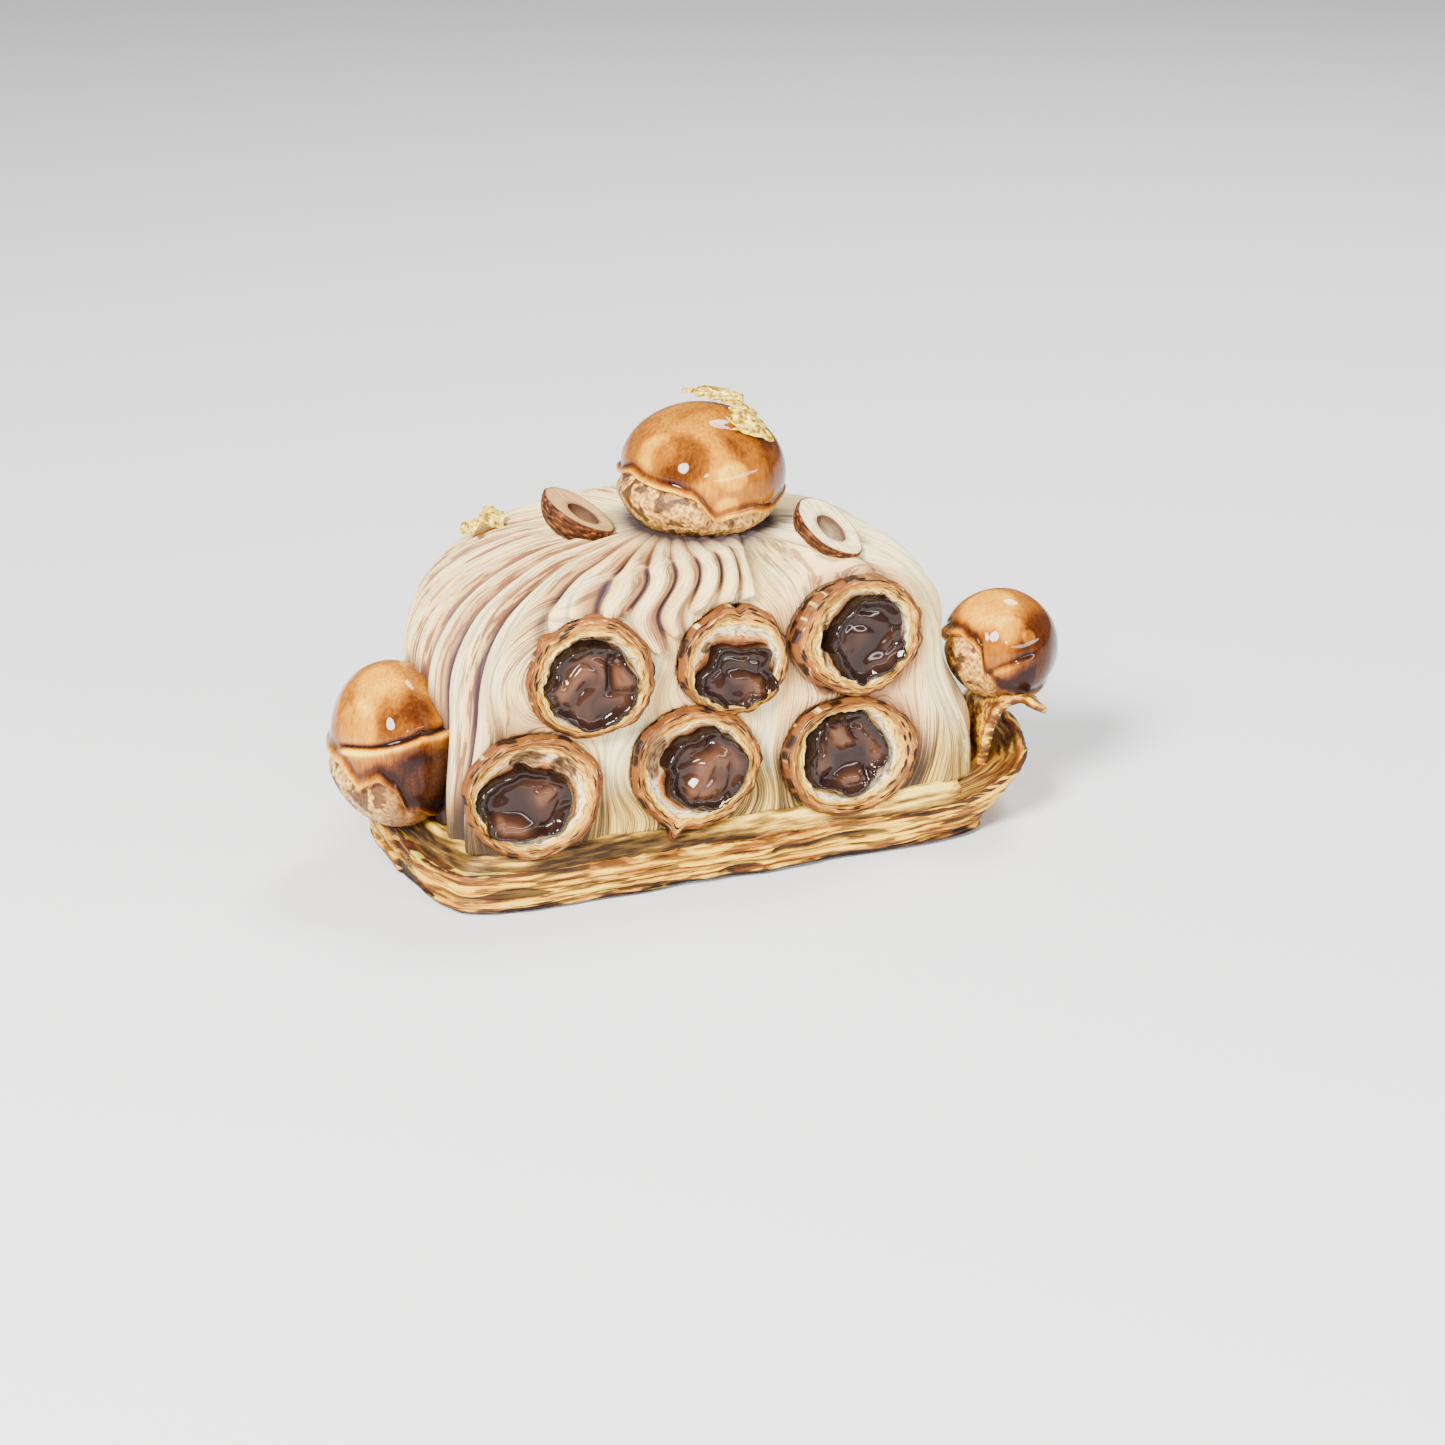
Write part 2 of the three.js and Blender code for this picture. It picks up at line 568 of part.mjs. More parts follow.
const topChoux = WHOLE_CHOUX[0];
addMesh("gold_leaf_draped", drapedLeaf(topChoux), finish(0xe8d27a, 0.35, 0.6)).position.set(...topChoux.at);
const flake = addMesh("gold_leaf_loose", looseLeaf(), finish(0xe8d27a, 0.35, 0.6));
flake.position.set(...LOOSE_LEAF.at);
flake.rotation.set(0.15, -0.3, 0.4);

addMesh("whipped_cream", cutBy(creamDome(), socketsInCream), finish(0xeadcc6, 0.6));
addMesh("creme_patissiere", cutBy(cremeLayer(), socketsInCream), finish(0xc9a84e, 0.45));
const pastry = toGeometry(toSolid(pastryDisc()).add(toSolid(pastryCurl())));
addMesh("puff_pastry", cutBy(pastry, socketsInPastry), finish(0xd9a85c, 0.8));

export default cake;
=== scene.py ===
"""A Saint Honore cake with its front cut away: puff pastry, creme patissiere, a ribbed dome of whipped
cream, six halved choux filled with praline, four whole choux dipped in caramel, hazelnuts and gold leaf.

Shapes are laid out in millimetres about the middle of the pastry disc, with the cut facing -Y, and are
moved to the frame of the model, in metres, when a mesh is made."""
import itertools
import math
from types import SimpleNamespace

import bpy
import numpy as np
from mathutils import Matrix, Vector


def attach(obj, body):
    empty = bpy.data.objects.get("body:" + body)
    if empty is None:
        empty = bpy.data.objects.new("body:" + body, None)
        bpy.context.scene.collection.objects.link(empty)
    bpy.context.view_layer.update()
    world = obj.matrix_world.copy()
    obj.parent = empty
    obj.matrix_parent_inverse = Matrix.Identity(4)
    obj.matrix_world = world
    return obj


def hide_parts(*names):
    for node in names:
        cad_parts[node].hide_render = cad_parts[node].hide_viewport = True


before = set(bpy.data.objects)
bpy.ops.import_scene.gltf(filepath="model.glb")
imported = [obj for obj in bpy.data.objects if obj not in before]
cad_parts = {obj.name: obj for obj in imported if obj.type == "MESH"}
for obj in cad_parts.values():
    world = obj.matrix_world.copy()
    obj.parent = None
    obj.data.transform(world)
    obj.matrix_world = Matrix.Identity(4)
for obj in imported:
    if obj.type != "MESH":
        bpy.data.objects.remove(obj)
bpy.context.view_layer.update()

FOOTPRINT_MIDDLE = np.array([0.3, 23.8, 0.0])
MM = 0.001

PASTRY = dict(radius=75.3, cut=37.8, corner=15.0, thick=9.2, floor=8.4, tuck=5.5, layers=6.2,
              tucked_under=6.0, flare=14.5, flare_rise=9.8, flare_width=17.0, ledge=1.4,
              ledge_at=math.radians(190))
# Rings from the rim of the pastry inwards: how far in, how far down, tone
PASTRY_TOP = [(0.5, -0.35, 0.46), (1.0, -0.1, 0.46), (1.6, 0.35, 0.66), (2.2, 0.9, 0.66), (3.0, 1.4, 0.44),
              (6.0, 1.6, 0.44), (20.0, 1.6, 0.44)]
CURL = dict(start=-25.0, end=-3.0, thick=3.0, lower=0.35, narrower=0.6,
            spine=[(70.6, 6.2), (71.4, 12), (72.2, 18.5), (73.8, 26.8), (77.8, 31), (82.6, 31.6), (87, 29)])
CREME = dict(bottom=8.75, top=13.6, inset=1.6, slope=3.4)
# Rings from the edge of the creme patissiere inwards: how far in, how far down
CREME_TOP = [(0.6, -0.6), (1.4, -1.0), (2.4, -1.2), (4.0, -0.6), (9.0, 0.4), (16.0, 0.8), (40.0, 1.2)]
DOME = dict(x=-2.0, radius=63.5, waist=43.0, top=76.5, bottom=13.95, power=2.55, flare=7.5,
            nip=1.6, nip_at=346.0, nip_width=14.0, shoulder=0.74)
DENT = dict(at=184.0, depth=8.0, width=20.0)
RIBS = dict(count=44, depth=3.4, spread=0.35, halved=0.9)
FACE = dict(foot=31.8, lean=0.12, corner=7.0, scoop_x=15.0, scoop_width=11.0, scoop_depth=0.4,
            foot_out=1.8, foot_fade=7.0, round_choux=0.7)
TIPS = dict(left=-54.0, right=5.0, height=65.0, lowest=55.0, lowest_at=-16.0, outer=52.0, proud=3.4,
            sway=0.3, sway_length=18.0)
STRANDS = dict(ring=59, down=110, stretch=0.045)
SHELL = dict(depth=13.0, lean=0.12, rough=0.03, clear=0.3)
COAT = dict(gap=0.7, thick=0.9, bead=0.6)
NUT = dict(long=8.7, wide=6.9, deep=7.4, hollow=3.0)
LEAF_THICK = 0.12

# The halved choux: centre of the rim, half width and height, turn, then centre and half sizes of the
# hollow and of the praline. bumps stand out of the rim: angle in degrees, share of its size, width.
# pockets are air holes in the crumb: centre, half sizes and depth.
HALVED_CHOUX = {
    "lower_left": dict(at=(-49.4, -33.2, 26.8), wide=15.8, high=14.3, turn=-0.10,
                       hollow=(-0.6, -0.6, 12.2, 10.6), fill=(-1.7, -2.0, 11.2, 8.4), star=0.03,
                       bumps=[(147, 0.03, 12), (60, 0.03, 9)],
                       pockets=[(-0.8, 8.6, 4.6, 2.7, 2.2), (7.5, 5.3, 3.1, 3.9, 2.0)]),
    "lower_middle": dict(at=(-10.1, -33.2, 27.6), wide=15.5, high=14.1, turn=0.0,
                         hollow=(0.3, -0.6, 12.3, 10.8), fill=(2.5, -1.3, 10.1, 9.8), star=0.03,
                         bumps=[(-112, 0.20, 4), (-118, 0.05, 9)],
                         pockets=[(-9.0, 4.0, 3.6, 6.2, 0.9)]),
    "lower_right": dict(at=(28.8, -33.5, 24.5), wide=17.3, high=13.9, turn=0.06,
                        hollow=(-0.6, 0.4, 12.2, 11.0), fill=(-1.0, 0.8, 10.6, 10.4), star=0.05,
                        bumps=[(166, 0.04, 9), (20, 0.02, 10)], pockets=[]),
    "upper_left": dict(at=(-34.0, -29.6, 51.8), wide=14.4, high=13.9, turn=-0.12,
                       hollow=(0.2, -1.4, 11.0, 10.8), fill=(0.3, -2.5, 10.5, 10.3), star=0.03,
                       bumps=[(138, 0.06, 9), (27, 0.04, 8)], pockets=[(1.0, 8.2, 5.5, 1.6, 0.9)]),
    "upper_middle": dict(at=(0.8, -29.4, 51.1), wide=13.4, high=12.6, turn=0.04,
                         hollow=(0.5, -1.6, 10.8, 9.8), fill=(1.1, -4.6, 9.8, 7.8), star=0.13,
                         bumps=[(84, -0.09, 5), (70, 0.03, 8), (98, 0.03, 8)],
                         pockets=[(-5.8, 3.4, 2.6, 1.3, 0.8)]),
    "upper_right": dict(at=(32.0, -29.6, 52.8), wide=16.7, high=13.8, turn=0.12,
                        hollow=(1.6, -0.6, 11.6, 10.8), fill=(2.8, -1.5, 10.2, 10.3), star=0.04,
                        bumps=[(-14, 0.07, 9), (95, 0.04, 9)], pockets=[(-8.6, 0.2, 1.5, 6.6, 1.6)]),
}

# The whole choux: centre, half sizes, how much fuller the lower half is, how far down the caramel
# reaches (polar angle in radians at azimuths in degrees), a fold in it given the same way and how high
# its lip is, rounds of painted reflection, highlight and shade on the sugar, darker or paler (azimuth
# in degrees, polar angle, size in radians, strength), how dark its sugar is, and how far its shade
# reaches over the cream, in its own sizes, and how strong
WHOLE_CHOUX = {
    "top": dict(at=(4.0, -1.0, 87.3), half=(17.9, 17.9, 14.9), belly=2.6, dark=0.12, shade=(1.45, 1.15),
                edge=[(-170, 1.42), (-143, 1.50), (-119, 1.60), (-98, 1.98), (-72, 1.92), (-50, 2.00),
                      (-15, 1.85), (30, 1.72), (75, 1.80), (120, 1.62), (160, 1.55)], fold=[], lip=0.0,
                painted_light=[(-128, 1.07, 0.36, 0.30), (-128, 1.07, 0.52, -0.10), (-88, 1.30, 0.20, -0.24),
                        (-60, 0.9, 0.35, 0.12), (-30, 1.3, 0.5, 0.2), (-93, 1.75, 0.16, -0.25),
                        (-150, 1.0, 0.25, -0.2)]),
    "left": dict(at=(-72.0, 0.0, 30.0), half=(13.2, 17.6, 18.5), belly=2.2, dark=0.10, shade=(1.22, 0.8),
                 edge=[(-178, 1.60), (-165, 1.66), (-155, 1.74), (-145, 1.86), (-134, 1.76), (-124, 1.72),
                       (-112, 1.80), (-98, 2.1), (-60, 2.3), (0, 2.1), (60, 1.7), (120, 1.75), (150, 1.6)],
                 fold=[(-172, 1.42), (-150, 1.34), (-130, 1.28), (-84, 1.13), (-44, 1.18), (-20, 1.2)],
                 lip=1.0,
                 painted_light=[(-134, 0.5, 0.4, -0.2), (-150, 1.1, 0.35, -0.18), (-95, 0.95, 0.45, 0.25)]),
    "right": dict(at=(74.1, -20.0, 41.0), half=(12.4, 12.4, 12.6), belly=0.8, dark=0.2, shade=(1.22, 0.8),
                  edge=[(165, 1.30), (-164, 1.22), (-147, 1.30), (-138, 1.42), (-130, 1.90), (-112, 2.12),
                        (-81, 2.34), (-30, 2.3), (30, 2.1), (80, 1.9), (125, 1.7)],
                  fold=[(-134, 1.80), (-117, 1.60), (-94, 1.46), (-75, 1.40)], lip=0.35,
                  painted_light=[(-60, 1.5, 0.75, 0.28), (-150, 0.5, 0.5, -0.3), (-105, 0.95, 0.25, -0.2),
                          (-85, 1.1, 0.12, -0.3)]),
    "back": dict(at=(-1.0, 71.5, 28.2), half=(16.8, 13.4, 16.6), belly=1.6, dark=0.10, shade=(1.22, 0.8),
                 edge=[(-150, 1.75), (-110, 1.62), (-70, 1.80), (-30, 1.70), (10, 1.58), (50, 1.78),
                       (85, 1.64), (115, 1.85), (150, 1.70), (178, 1.60)],
                 fold=[], lip=0.0, painted_light=[(90, 1.0, 0.4, 0.18), (120, 0.6, 0.4, -0.15)]),
}

# The hazelnut halves: centre, the way their length and their cut face point, how far the cavity lies
# off the middle, and the colours of the meat and of the cavity
HAZELNUTS = {
    "left": dict(at=(-26.2, 0.5, 81.6), length=(0.715, -0.499, -0.482), face=(0.386, -0.299, 0.874),
                 off=1.7, meat=(196, 154, 98), cavity=(56, 30, 18)),
    "right": dict(at=(28.6, -19.0, 76.9), length=(0.610, -0.512, -0.609), face=(0.304, -0.557, 0.766),
                  off=0.8, meat=(250, 228, 172), cavity=(70, 36, 18)),
}

DRAPED_LEAF = dict(spine=[(-1.5, 6.2, 17.0), (5.5, 0.6, 17.0), (8.2, -5.8, 15.3), (6.4, -12.4, 11.2)],
                   half_width=4.2, teeth=5.5, above=0.35, rise=1.025)
LOOSE_LEAF = dict(at=(-41.5, 24.0, 73.6), half=(4.8, 3.3, 1.8), turns=dict(X=0.15, Y=-0.3, Z=0.4))

# The lamps, in metres: place, size of the ellipse, power and colour
LAMP_TARGET = (0, -0.01, 0.04)
LAMPS = {
    "key": dict(place=(-0.80, -0.70, 0.85), size=(0.42, 0.42), power=60, colour=(1.0, 0.99, 0.97)),
    "fill": dict(place=(0.63, -1.08, 0.38), size=(1.5, 0.12), power=14, colour=(1.0, 1.0, 1.0)),
    "rim": dict(place=(0.55, 0.35, 1.1), size=(0.36, 0.36), power=15, colour=(1.0, 1.0, 1.0)),
    "glint": dict(place=(-0.12, -0.85, 0.42), size=(0.05, 0.05), power=1.6, colour=(1.0, 1.0, 1.0)),
}
SKY_STRENGTH = 0.3
FLOOR = dict(half=6.0, grey=0.86)
CAMERA = dict(azimuth=math.radians(-22), elevation=math.radians(22), distance=0.7,
              target=(5.41, -34.11, 27.75), sensor=36, photo_pixels=1445, focal_pixels=2940)


# Plain functions of numbers and arrays
def smooth_step(low, high, value):
    """0 at low and 1 at high, with a soft rise between. low may also be the larger of the two."""
    t = np.clip((value - low) / (high - low), 0, 1)
    return t * t * (3 - 2 * t)


def plateau(value, start, full, fading, end):
    """1 between full and fading, 0 outside start and end."""
    return smooth_step(start, full, value) * smooth_step(end, fading, value)


def smooth_min(a, b, width):
    near = np.maximum(width - np.abs(a - b), 0) / width
    return np.minimum(a, b) - near * near * width / 4


def hill(value, middle, width):
    return np.exp(-((value - middle) / width) ** 2)


def wrapped(degrees):
    """Degrees brought to between -180 and 180."""
    return np.mod(degrees + 180, 360) - 180


def ripple(angle, waves, seed):
    """A wave round a circle that never repeats itself exactly, between about -1 and 1."""
    return 0.65 * np.sin(waves * angle + seed) + 0.35 * np.sin((2 * waves + 1) * angle + 2.3 * seed)


def lattice(cell, seed):
    """A fixed random number from 0 to 1 for each whole-numbered cell."""
    x, y, z = (cell[..., i].astype(np.uint64) for i in range(3))
    mixed = x * np.uint64(374761393) + y * np.uint64(668265263) + z * np.uint64(2246822519)
    mixed = (mixed + np.uint64(seed * 3266489917 + 1)) & np.uint64(0xFFFFFFFF)
    mixed = ((mixed ^ (mixed >> np.uint64(15))) * np.uint64(2246822519)) & np.uint64(0xFFFFFFFF)
    mixed = ((mixed ^ (mixed >> np.uint64(13))) * np.uint64(3266489917)) & np.uint64(0xFFFFFFFF)
    return ((mixed ^ (mixed >> np.uint64(16))) & np.uint64(0xFFFFFF)).astype(float) / 0xFFFFFF


def noise(x, y, z=0.0, seed=0):
    """Smooth noise between -1 and 1, with features about one unit wide."""
    x, y, z = np.broadcast_arrays(x, y, z)
    point = np.stack([x, y, z], -1) + 4096.0
    cell = np.floor(point).astype(np.int64)
    part = point - cell
    part = part * part * part * (part * (part * 6 - 15) + 10)
    total = 0.0
    for corner in itertools.product((0, 1), repeat=3):
        weight = np.prod(np.where(np.array(corner) == 1, part, 1 - part), axis=-1)
        total = total + weight * lattice(cell + np.array(corner), seed)
    return 2 * total - 1


def noise_at(points, size, seed):
    """Noise at points in space. size is how wide its features are, one for all axes or one for each."""
    x, y, z = np.moveaxis(points / np.asarray(size, float), -1, 0)
    return noise(x, y, z, seed)


def layered(x, y, z=0.0, seed=0, octaves=3):
    """Noise with finer and weaker noise on it."""
    total = 0.0
    for i in range(octaves):
        total = total + noise(x * 2 ** i, y * 2 ** i, np.asarray(z) * 2 ** i, seed + i) / 2 ** i
    return total / 1.6


def ring_noise(angle, waves, part, seed):
    """Noise round a circle, with as many swells as waves times about three."""
    return noise(waves * np.cos(angle), waves * np.sin(angle), part, seed)


def catmull_rom(points, t):
    """Points on the smooth curve through the given ones, for t from 0 to 1."""
    p = np.asarray(points, float)
    p = np.concatenate([[2 * p[0] - p[1]], p, [2 * p[-1] - p[-2]]])
    spans = len(p) - 3
    at = np.clip(np.asarray(t, float) * spans, 0, spans - 1e-9)
    i = np.floor(at).astype(int)
    f = (at - i)[..., None]
    a, b, c, d = p[i], p[i + 1], p[i + 2], p[i + 3]
    squared, cubed = 2 * a - 5 * b + 4 * c - d, 3 * b - a - 3 * c + d
    return 0.5 * (2 * b + (c - a) * f + squared * f ** 2 + cubed * f ** 3)


def round_the_circle(azimuth, points):
    """A value that eases from one given (azimuth in degrees, value) to the next, round and back."""
    points = sorted(points)
    first, last = points[0], points[-1]
    at = np.array([last[0] - 360] + [p[0] for p in points] + [first[0] + 360])
    value = np.array([last[1]] + [p[1] for p in points] + [first[1]])
    degrees = wrapped(np.degrees(azimuth))
    i = np.clip(np.searchsorted(at, degrees, "right") - 1, 0, len(at) - 2)
    return value[i] + (value[i + 1] - value[i]) * smooth_step(0, 1, (degrees - at[i]) / (at[i + 1] - at[i]))


def even_steps(values, x, y, share):
    """Values at even steps along the curve x, y that they draw. share runs from 0 to 1 along it."""
    length = np.concatenate([[0], np.cumsum(np.hypot(np.diff(x), np.diff(y)))])
    return np.interp(share * length[-1], length, values)


def turns(count):
    """Angles that step evenly once round, in one row."""
    return (np.arange(count) / count * 2 * math.pi)[None, :]


def even_turns(radius, count):
    """Azimuths that step evenly along an outline whose radius is a function of azimuth, in one row."""
    azimuth = np.linspace(-math.pi, math.pi, 20001)
    return even_steps(azimuth, *on_circle(radius(azimuth), azimuth), np.arange(count) / count)[None, :]


def on_circle(reach, azimuth):
    return reach * np.cos(azimuth), reach * np.sin(azimuth)


def around(reach, azimuth, z):
    """Points at a distance from the axis and an azimuth, at height z."""
    return np.stack(np.broadcast_arrays(*on_circle(reach, azimuth), z), -1)


def oval(angle, half_width, half_height, middle=(0.0, 0.0)):
    """Flat points round an oval."""
    return np.stack([middle[0] + half_width * np.cos(angle), middle[1] + half_height * np.sin(angle)], -1)


def raised(flat, height):
    """Flat points lifted to a height, which is one number or one for each point."""
    height = np.broadcast_to(np.asarray(height)[..., None], (*flat.shape[:-1], 1))
    return np.concatenate([flat, height], -1)


def direction(azimuth, polar):
    return np.stack(np.broadcast_arrays(*on_circle(np.sin(polar), azimuth), np.cos(polar)), -1)


# Meshes
class Rings:
    """Rings of points from one pole of a form to the other, with the values that colour them."""

    def __init__(self):
        self.points, self.values = [], {}

    def add(self, points, **values):
        """One ring or some in a row. A value is one number, or one for each point."""
        self.points.append(points)
        for key, value in values.items():
            self.values.setdefault(key, []).append(np.broadcast_to(value, points.shape[:2]))

    def joined(self):
        values = {key: np.concatenate(parts) for key, parts in self.values.items()}
        return np.concatenate(self.points), values

    def closed(self, first, last):
        """The form between two poles, and the values at all its points."""
        points, values = self.joined()
        return lofted(points, first, last), {key: with_poles(value) for key, value in values.items()}


def lofted(rings, first, last):
    """Points, quads and triangles of a closed form: rings of points from one pole to the other."""
    rows, columns = rings.shape[:2]
    points = np.concatenate([[first], rings.reshape(-1, 3), [last]])
    index = 1 + np.arange(rows * columns).reshape(rows, columns)
    beside = np.roll(index, -1, axis=1)
    quads = np.stack([index[:-1], beside[:-1], beside[1:], index[1:]], -1).reshape(-1, 4)
    end = len(points) - 1
    fans = np.concatenate([
        np.stack([np.zeros(columns, int), beside[0], index[0]], -1),
        np.stack([np.full(columns, end), index[-1], beside[-1]], -1),
    ])
    return points, quads, fans


def with_poles(values):
    """Numbers or vectors over the rings of a lofted form, with the mean of the end ring at each pole."""
    flat = values.reshape(-1, *values.shape[2:])
    return np.concatenate([values[0].mean(0)[None], flat, values[-1].mean(0)[None]])


def unit_grid(columns, rows):
    """u and v from -1 to 1 over the points of a sheet with that many faces."""
    return np.meshgrid(np.linspace(-1, 1, columns + 1), np.linspace(-1, 1, rows + 1))


def sheet(middle, thick):
    """Points, quads and triangles of a thin sheet about its middle surface, closed round its edge."""
    normal = np.cross(np.gradient(middle, axis=1), np.gradient(middle, axis=0))
    normal /= np.maximum(np.linalg.norm(normal, axis=-1, keepdims=True), 1e-9)
    half = normal * np.broadcast_to(thick / 2, middle.shape[:2])[..., None]
    rows, columns = middle.shape[:2]
    count = rows * columns
    index = np.arange(count).reshape(rows, columns)
    quads = np.stack([index[:-1, :-1], index[:-1, 1:], index[1:, 1:], index[1:, :-1]], -1).reshape(-1, 4)
    loop = np.concatenate([index[0, :-1], index[:-1, -1], index[-1, :0:-1], index[:0:-1, 0]])
    after = np.roll(loop, -1)
    side = np.stack([after, loop, loop + count, after + count], -1)
    points = np.concatenate([(middle + half).reshape(-1, 3), (middle - half).reshape(-1, 3)])
    return points, np.concatenate([quads, quads[:, ::-1] + count, side]), np.zeros((0, 3), int)


def outward(points, quads, triangles):
    """The faces, turned over if they face inwards."""
    corners = points[np.concatenate([quads[:, :3], quads[:, [0, 2, 3]], triangles])]
    volume = np.einsum("ij,ij->i", corners[:, 0], np.cross(corners[:, 1], corners[:, 2])).sum()
    return (quads, triangles) if volume >= 0 else (quads[:, ::-1], triangles[:, ::-1])


def add_piece(name, form, values, material, node=None):
    """A smooth mesh with its point values, riding on the cake and standing for a CAD node."""
    points = form[0]
    quads, triangles = outward(*form)
    mesh = bpy.data.meshes.new(name)
    mesh.vertices.add(len(points))
    mesh.vertices.foreach_set("co", ((points - FOOTPRINT_MIDDLE) * MM).astype(np.float32).ravel())
    corners = np.concatenate([quads.ravel(), triangles.ravel()])
    mesh.loops.add(len(corners))
    mesh.loops.foreach_set("vertex_index", corners.astype(np.int32))
    sides = np.concatenate([np.full(len(quads), 4), np.full(len(triangles), 3)])
    mesh.polygons.add(len(sides))
    mesh.polygons.foreach_set("loop_start", (np.cumsum(sides) - sides).astype(np.int32))
    mesh.update(calc_edges=True)
    mesh.validate()
    mesh.shade_smooth()
    for key, value in values.items():
        kind, field = ("FLOAT_VECTOR", "vector") if value.ndim == 2 else ("FLOAT", "value")
        layer = mesh.attributes.new(key, kind, "POINT")
        layer.data.foreach_set(field, value.astype(np.float32).ravel())
    mesh.materials.append(material)
    piece = add_object(name, mesh)
    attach(piece, "root")
    if node:
        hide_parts(node)


def add_object(name, data):
    added = bpy.data.objects.new(name, data)
    bpy.context.scene.collection.objects.link(added)
    return added


# Materials
def srgb(red, green, blue):
    """A colour given in 0 to 255, as the linear values that shaders take."""
    linear = [((c / 255 + 0.055) / 1.055) ** 2.4 if c > 10 else c / 3294.6 for c in (red, green, blue)]
    return (*linear, 1.0)


class Surface:
    """A material and the few kinds of node that the surfaces here are made of. Colours are in 0 to 255."""

    def __init__(self, name, roughness=0.5, shine=0.5):
        self.material = bpy.data.materials.new(name)
        self.material.use_nodes = True
        self.nodes = self.material.node_tree.nodes
        self.links = self.material.node_tree.links
        self.shader = self.nodes["Principled BSDF"]
        self.set({"Roughness": roughness, "Specular IOR Level": shine})

    def set(self, uniform):
        """Uniform values on the shader's own sockets."""
        for key, value in uniform.items():
            self.shader.inputs[key].default_value = value

    def put(self, socket, value):
        if isinstance(value, bpy.types.NodeSocket):
            self.links.new(value, socket)
        else:
            socket.default_value = value

    def value(self, name, output="Fac"):
        """A number that the mesh holds at each point, or a vector with output Vector."""
        node = self.nodes.new("ShaderNodeAttribute")
        node.attribute_name = name
        return node.outputs[output]

    def texture(self, kind, size, stretch, grain):
        """A texture with features of a size in millimetres, in the object's space or along its grain."""
        mapping = self.nodes.new("ShaderNodeMapping")
        if grain:
            place, scale = self.value("grain", "Vector"), 1.0
        else:
            place, scale = self.nodes.new("ShaderNodeTexCoord").outputs["Object"], 1 / MM
        self.links.new(place, mapping.inputs["Vector"])
        mapping.inputs["Scale"].default_value = [scale * side for side in stretch]
        node = self.nodes.new(kind)
        self.links.new(mapping.outputs["Vector"], node.inputs["Vector"])
        node.inputs["Scale"].default_value = 1 / size
        return node

    def noise(self, size, detail=3.0, rough=0.5, warp=0.0, grain=False):
        node = self.texture("ShaderNodeTexNoise", size, (1.0, 1.0, 1.0), grain)
        for key, value in (("Detail", detail), ("Roughness", rough), ("Distortion", warp)):
            node.inputs[key].default_value = value
        return node.outputs["Fac"]

    def cells(self, size, feature="F1", stretch=(1.0, 1.0, 1.0), grain=False):
        node = self.texture("ShaderNodeTexVoronoi", size, stretch, grain)
        node.feature = feature
        return node.outputs["Distance"]

    def math(self, operation, a, b):
        node = self.nodes.new("ShaderNodeMath")
        node.operation = operation
        self.put(node.inputs[0], a)
        self.put(node.inputs[1], b)
        return node.outputs[0]

    def plus(self, a, b):
        return self.math("ADD", a, b)

    def times(self, a, b):
        return self.math("MULTIPLY", a, b)

    def swing(self, value, strength, middle=0.5):
        """How far a value is from its middle, times a strength."""
        return self.times(self.math("SUBTRACT", value, middle), strength)

    def step(self, low, high, value):
        node = self.nodes.new("ShaderNodeMapRange")
        node.interpolation_type = "SMOOTHSTEP"
        self.put(node.inputs["Value"], value)
        node.inputs["From Min"].default_value = low
        node.inputs["From Max"].default_value = high
        return node.outputs["Result"]

    def mix(self, share, a, b):
        node = self.nodes.new("ShaderNodeMix")
        node.data_type = "RGBA"
        self.put(node.inputs["Factor"], share)
        self.put(node.inputs[6], a)
        self.put(node.inputs[7], b)
        return node.outputs[2]

    def tint(self, colour, share, other, strength=None):
        """A colour that turns into another one where share is 1, at most as far as strength."""
        share = share if strength is None else self.times(share, strength)
        return self.mix(share, colour, srgb(*other))

    def ramp(self, value, *stops):
        """A colour that runs through stops: place from 0 to 1, red, green and blue."""
        node = self.nodes.new("ShaderNodeValToRGB")
        elements = node.color_ramp.elements
        while len(elements) < len(stops):
            elements.new(0.5)
        for element, (position, *colour) in zip(elements, stops):
            element.position = position
            element.color = srgb(*colour)
        self.put(node.inputs["Fac"], value)
        return node.outputs["Color"]

    def finish(self, colour, roughness=None, bump=None, height=0.2):
        """The material, with its colour, and its roughness and bump where it has them. height is in mm."""
        self.put(self.shader.inputs["Base Color"], colour)
        if roughness is not None:
            self.put(self.shader.inputs["Roughness"], roughness)
        if bump is not None:
            node = self.nodes.new("ShaderNodeBump")
            node.inputs["Distance"].default_value = height * MM
            self.put(node.inputs["Height"], bump)
            self.links.new(node.outputs["Normal"], self.shader.inputs["Normal"])
        return self.material


def cream_material():
    s = Surface("whipped_cream", 0.5, shine=0.25)
    s.set({"Subsurface Weight": 0.10, "Subsurface Radius": (1.0, 0.62, 0.36), "Subsurface Scale": 0.6 * MM})
    broad, fine = s.noise(0.75, detail=2.0, grain=True), s.noise(0.34, detail=2.0, grain=True)
    strokes = s.plus(s.times(broad, 0.5), s.times(fine, 0.5))
    colour = s.ramp(s.value("tone"), (0.0, 255, 238, 182), (0.3, 250, 210, 138), (0.6, 184, 136, 88),
                    (1.0, 92, 60, 42))
    # brown strokes everywhere, denser where brush is high; there, on the far side of the ribs and round the
    # choux, they are painted shade
    colour = s.tint(colour, s.step(0.47, 0.57, strokes), (136, 90, 56), s.value("brush"))
    stain = s.ramp(s.plus(strokes, s.swing(s.value("tone"), 0.28, middle=0.25)),
                   (0.38, 214, 176, 78), (0.49, 120, 90, 38), (0.60, 58, 40, 22))
    colour = s.mix(s.value("stain"), colour, stain)
    # painted shade: purple-brown in the grooves, round and under the choux and along a fold
    colour = s.tint(colour, s.value("painted_shade"), (46, 28, 46))
    return s.finish(colour, bump=strokes, height=0.5)


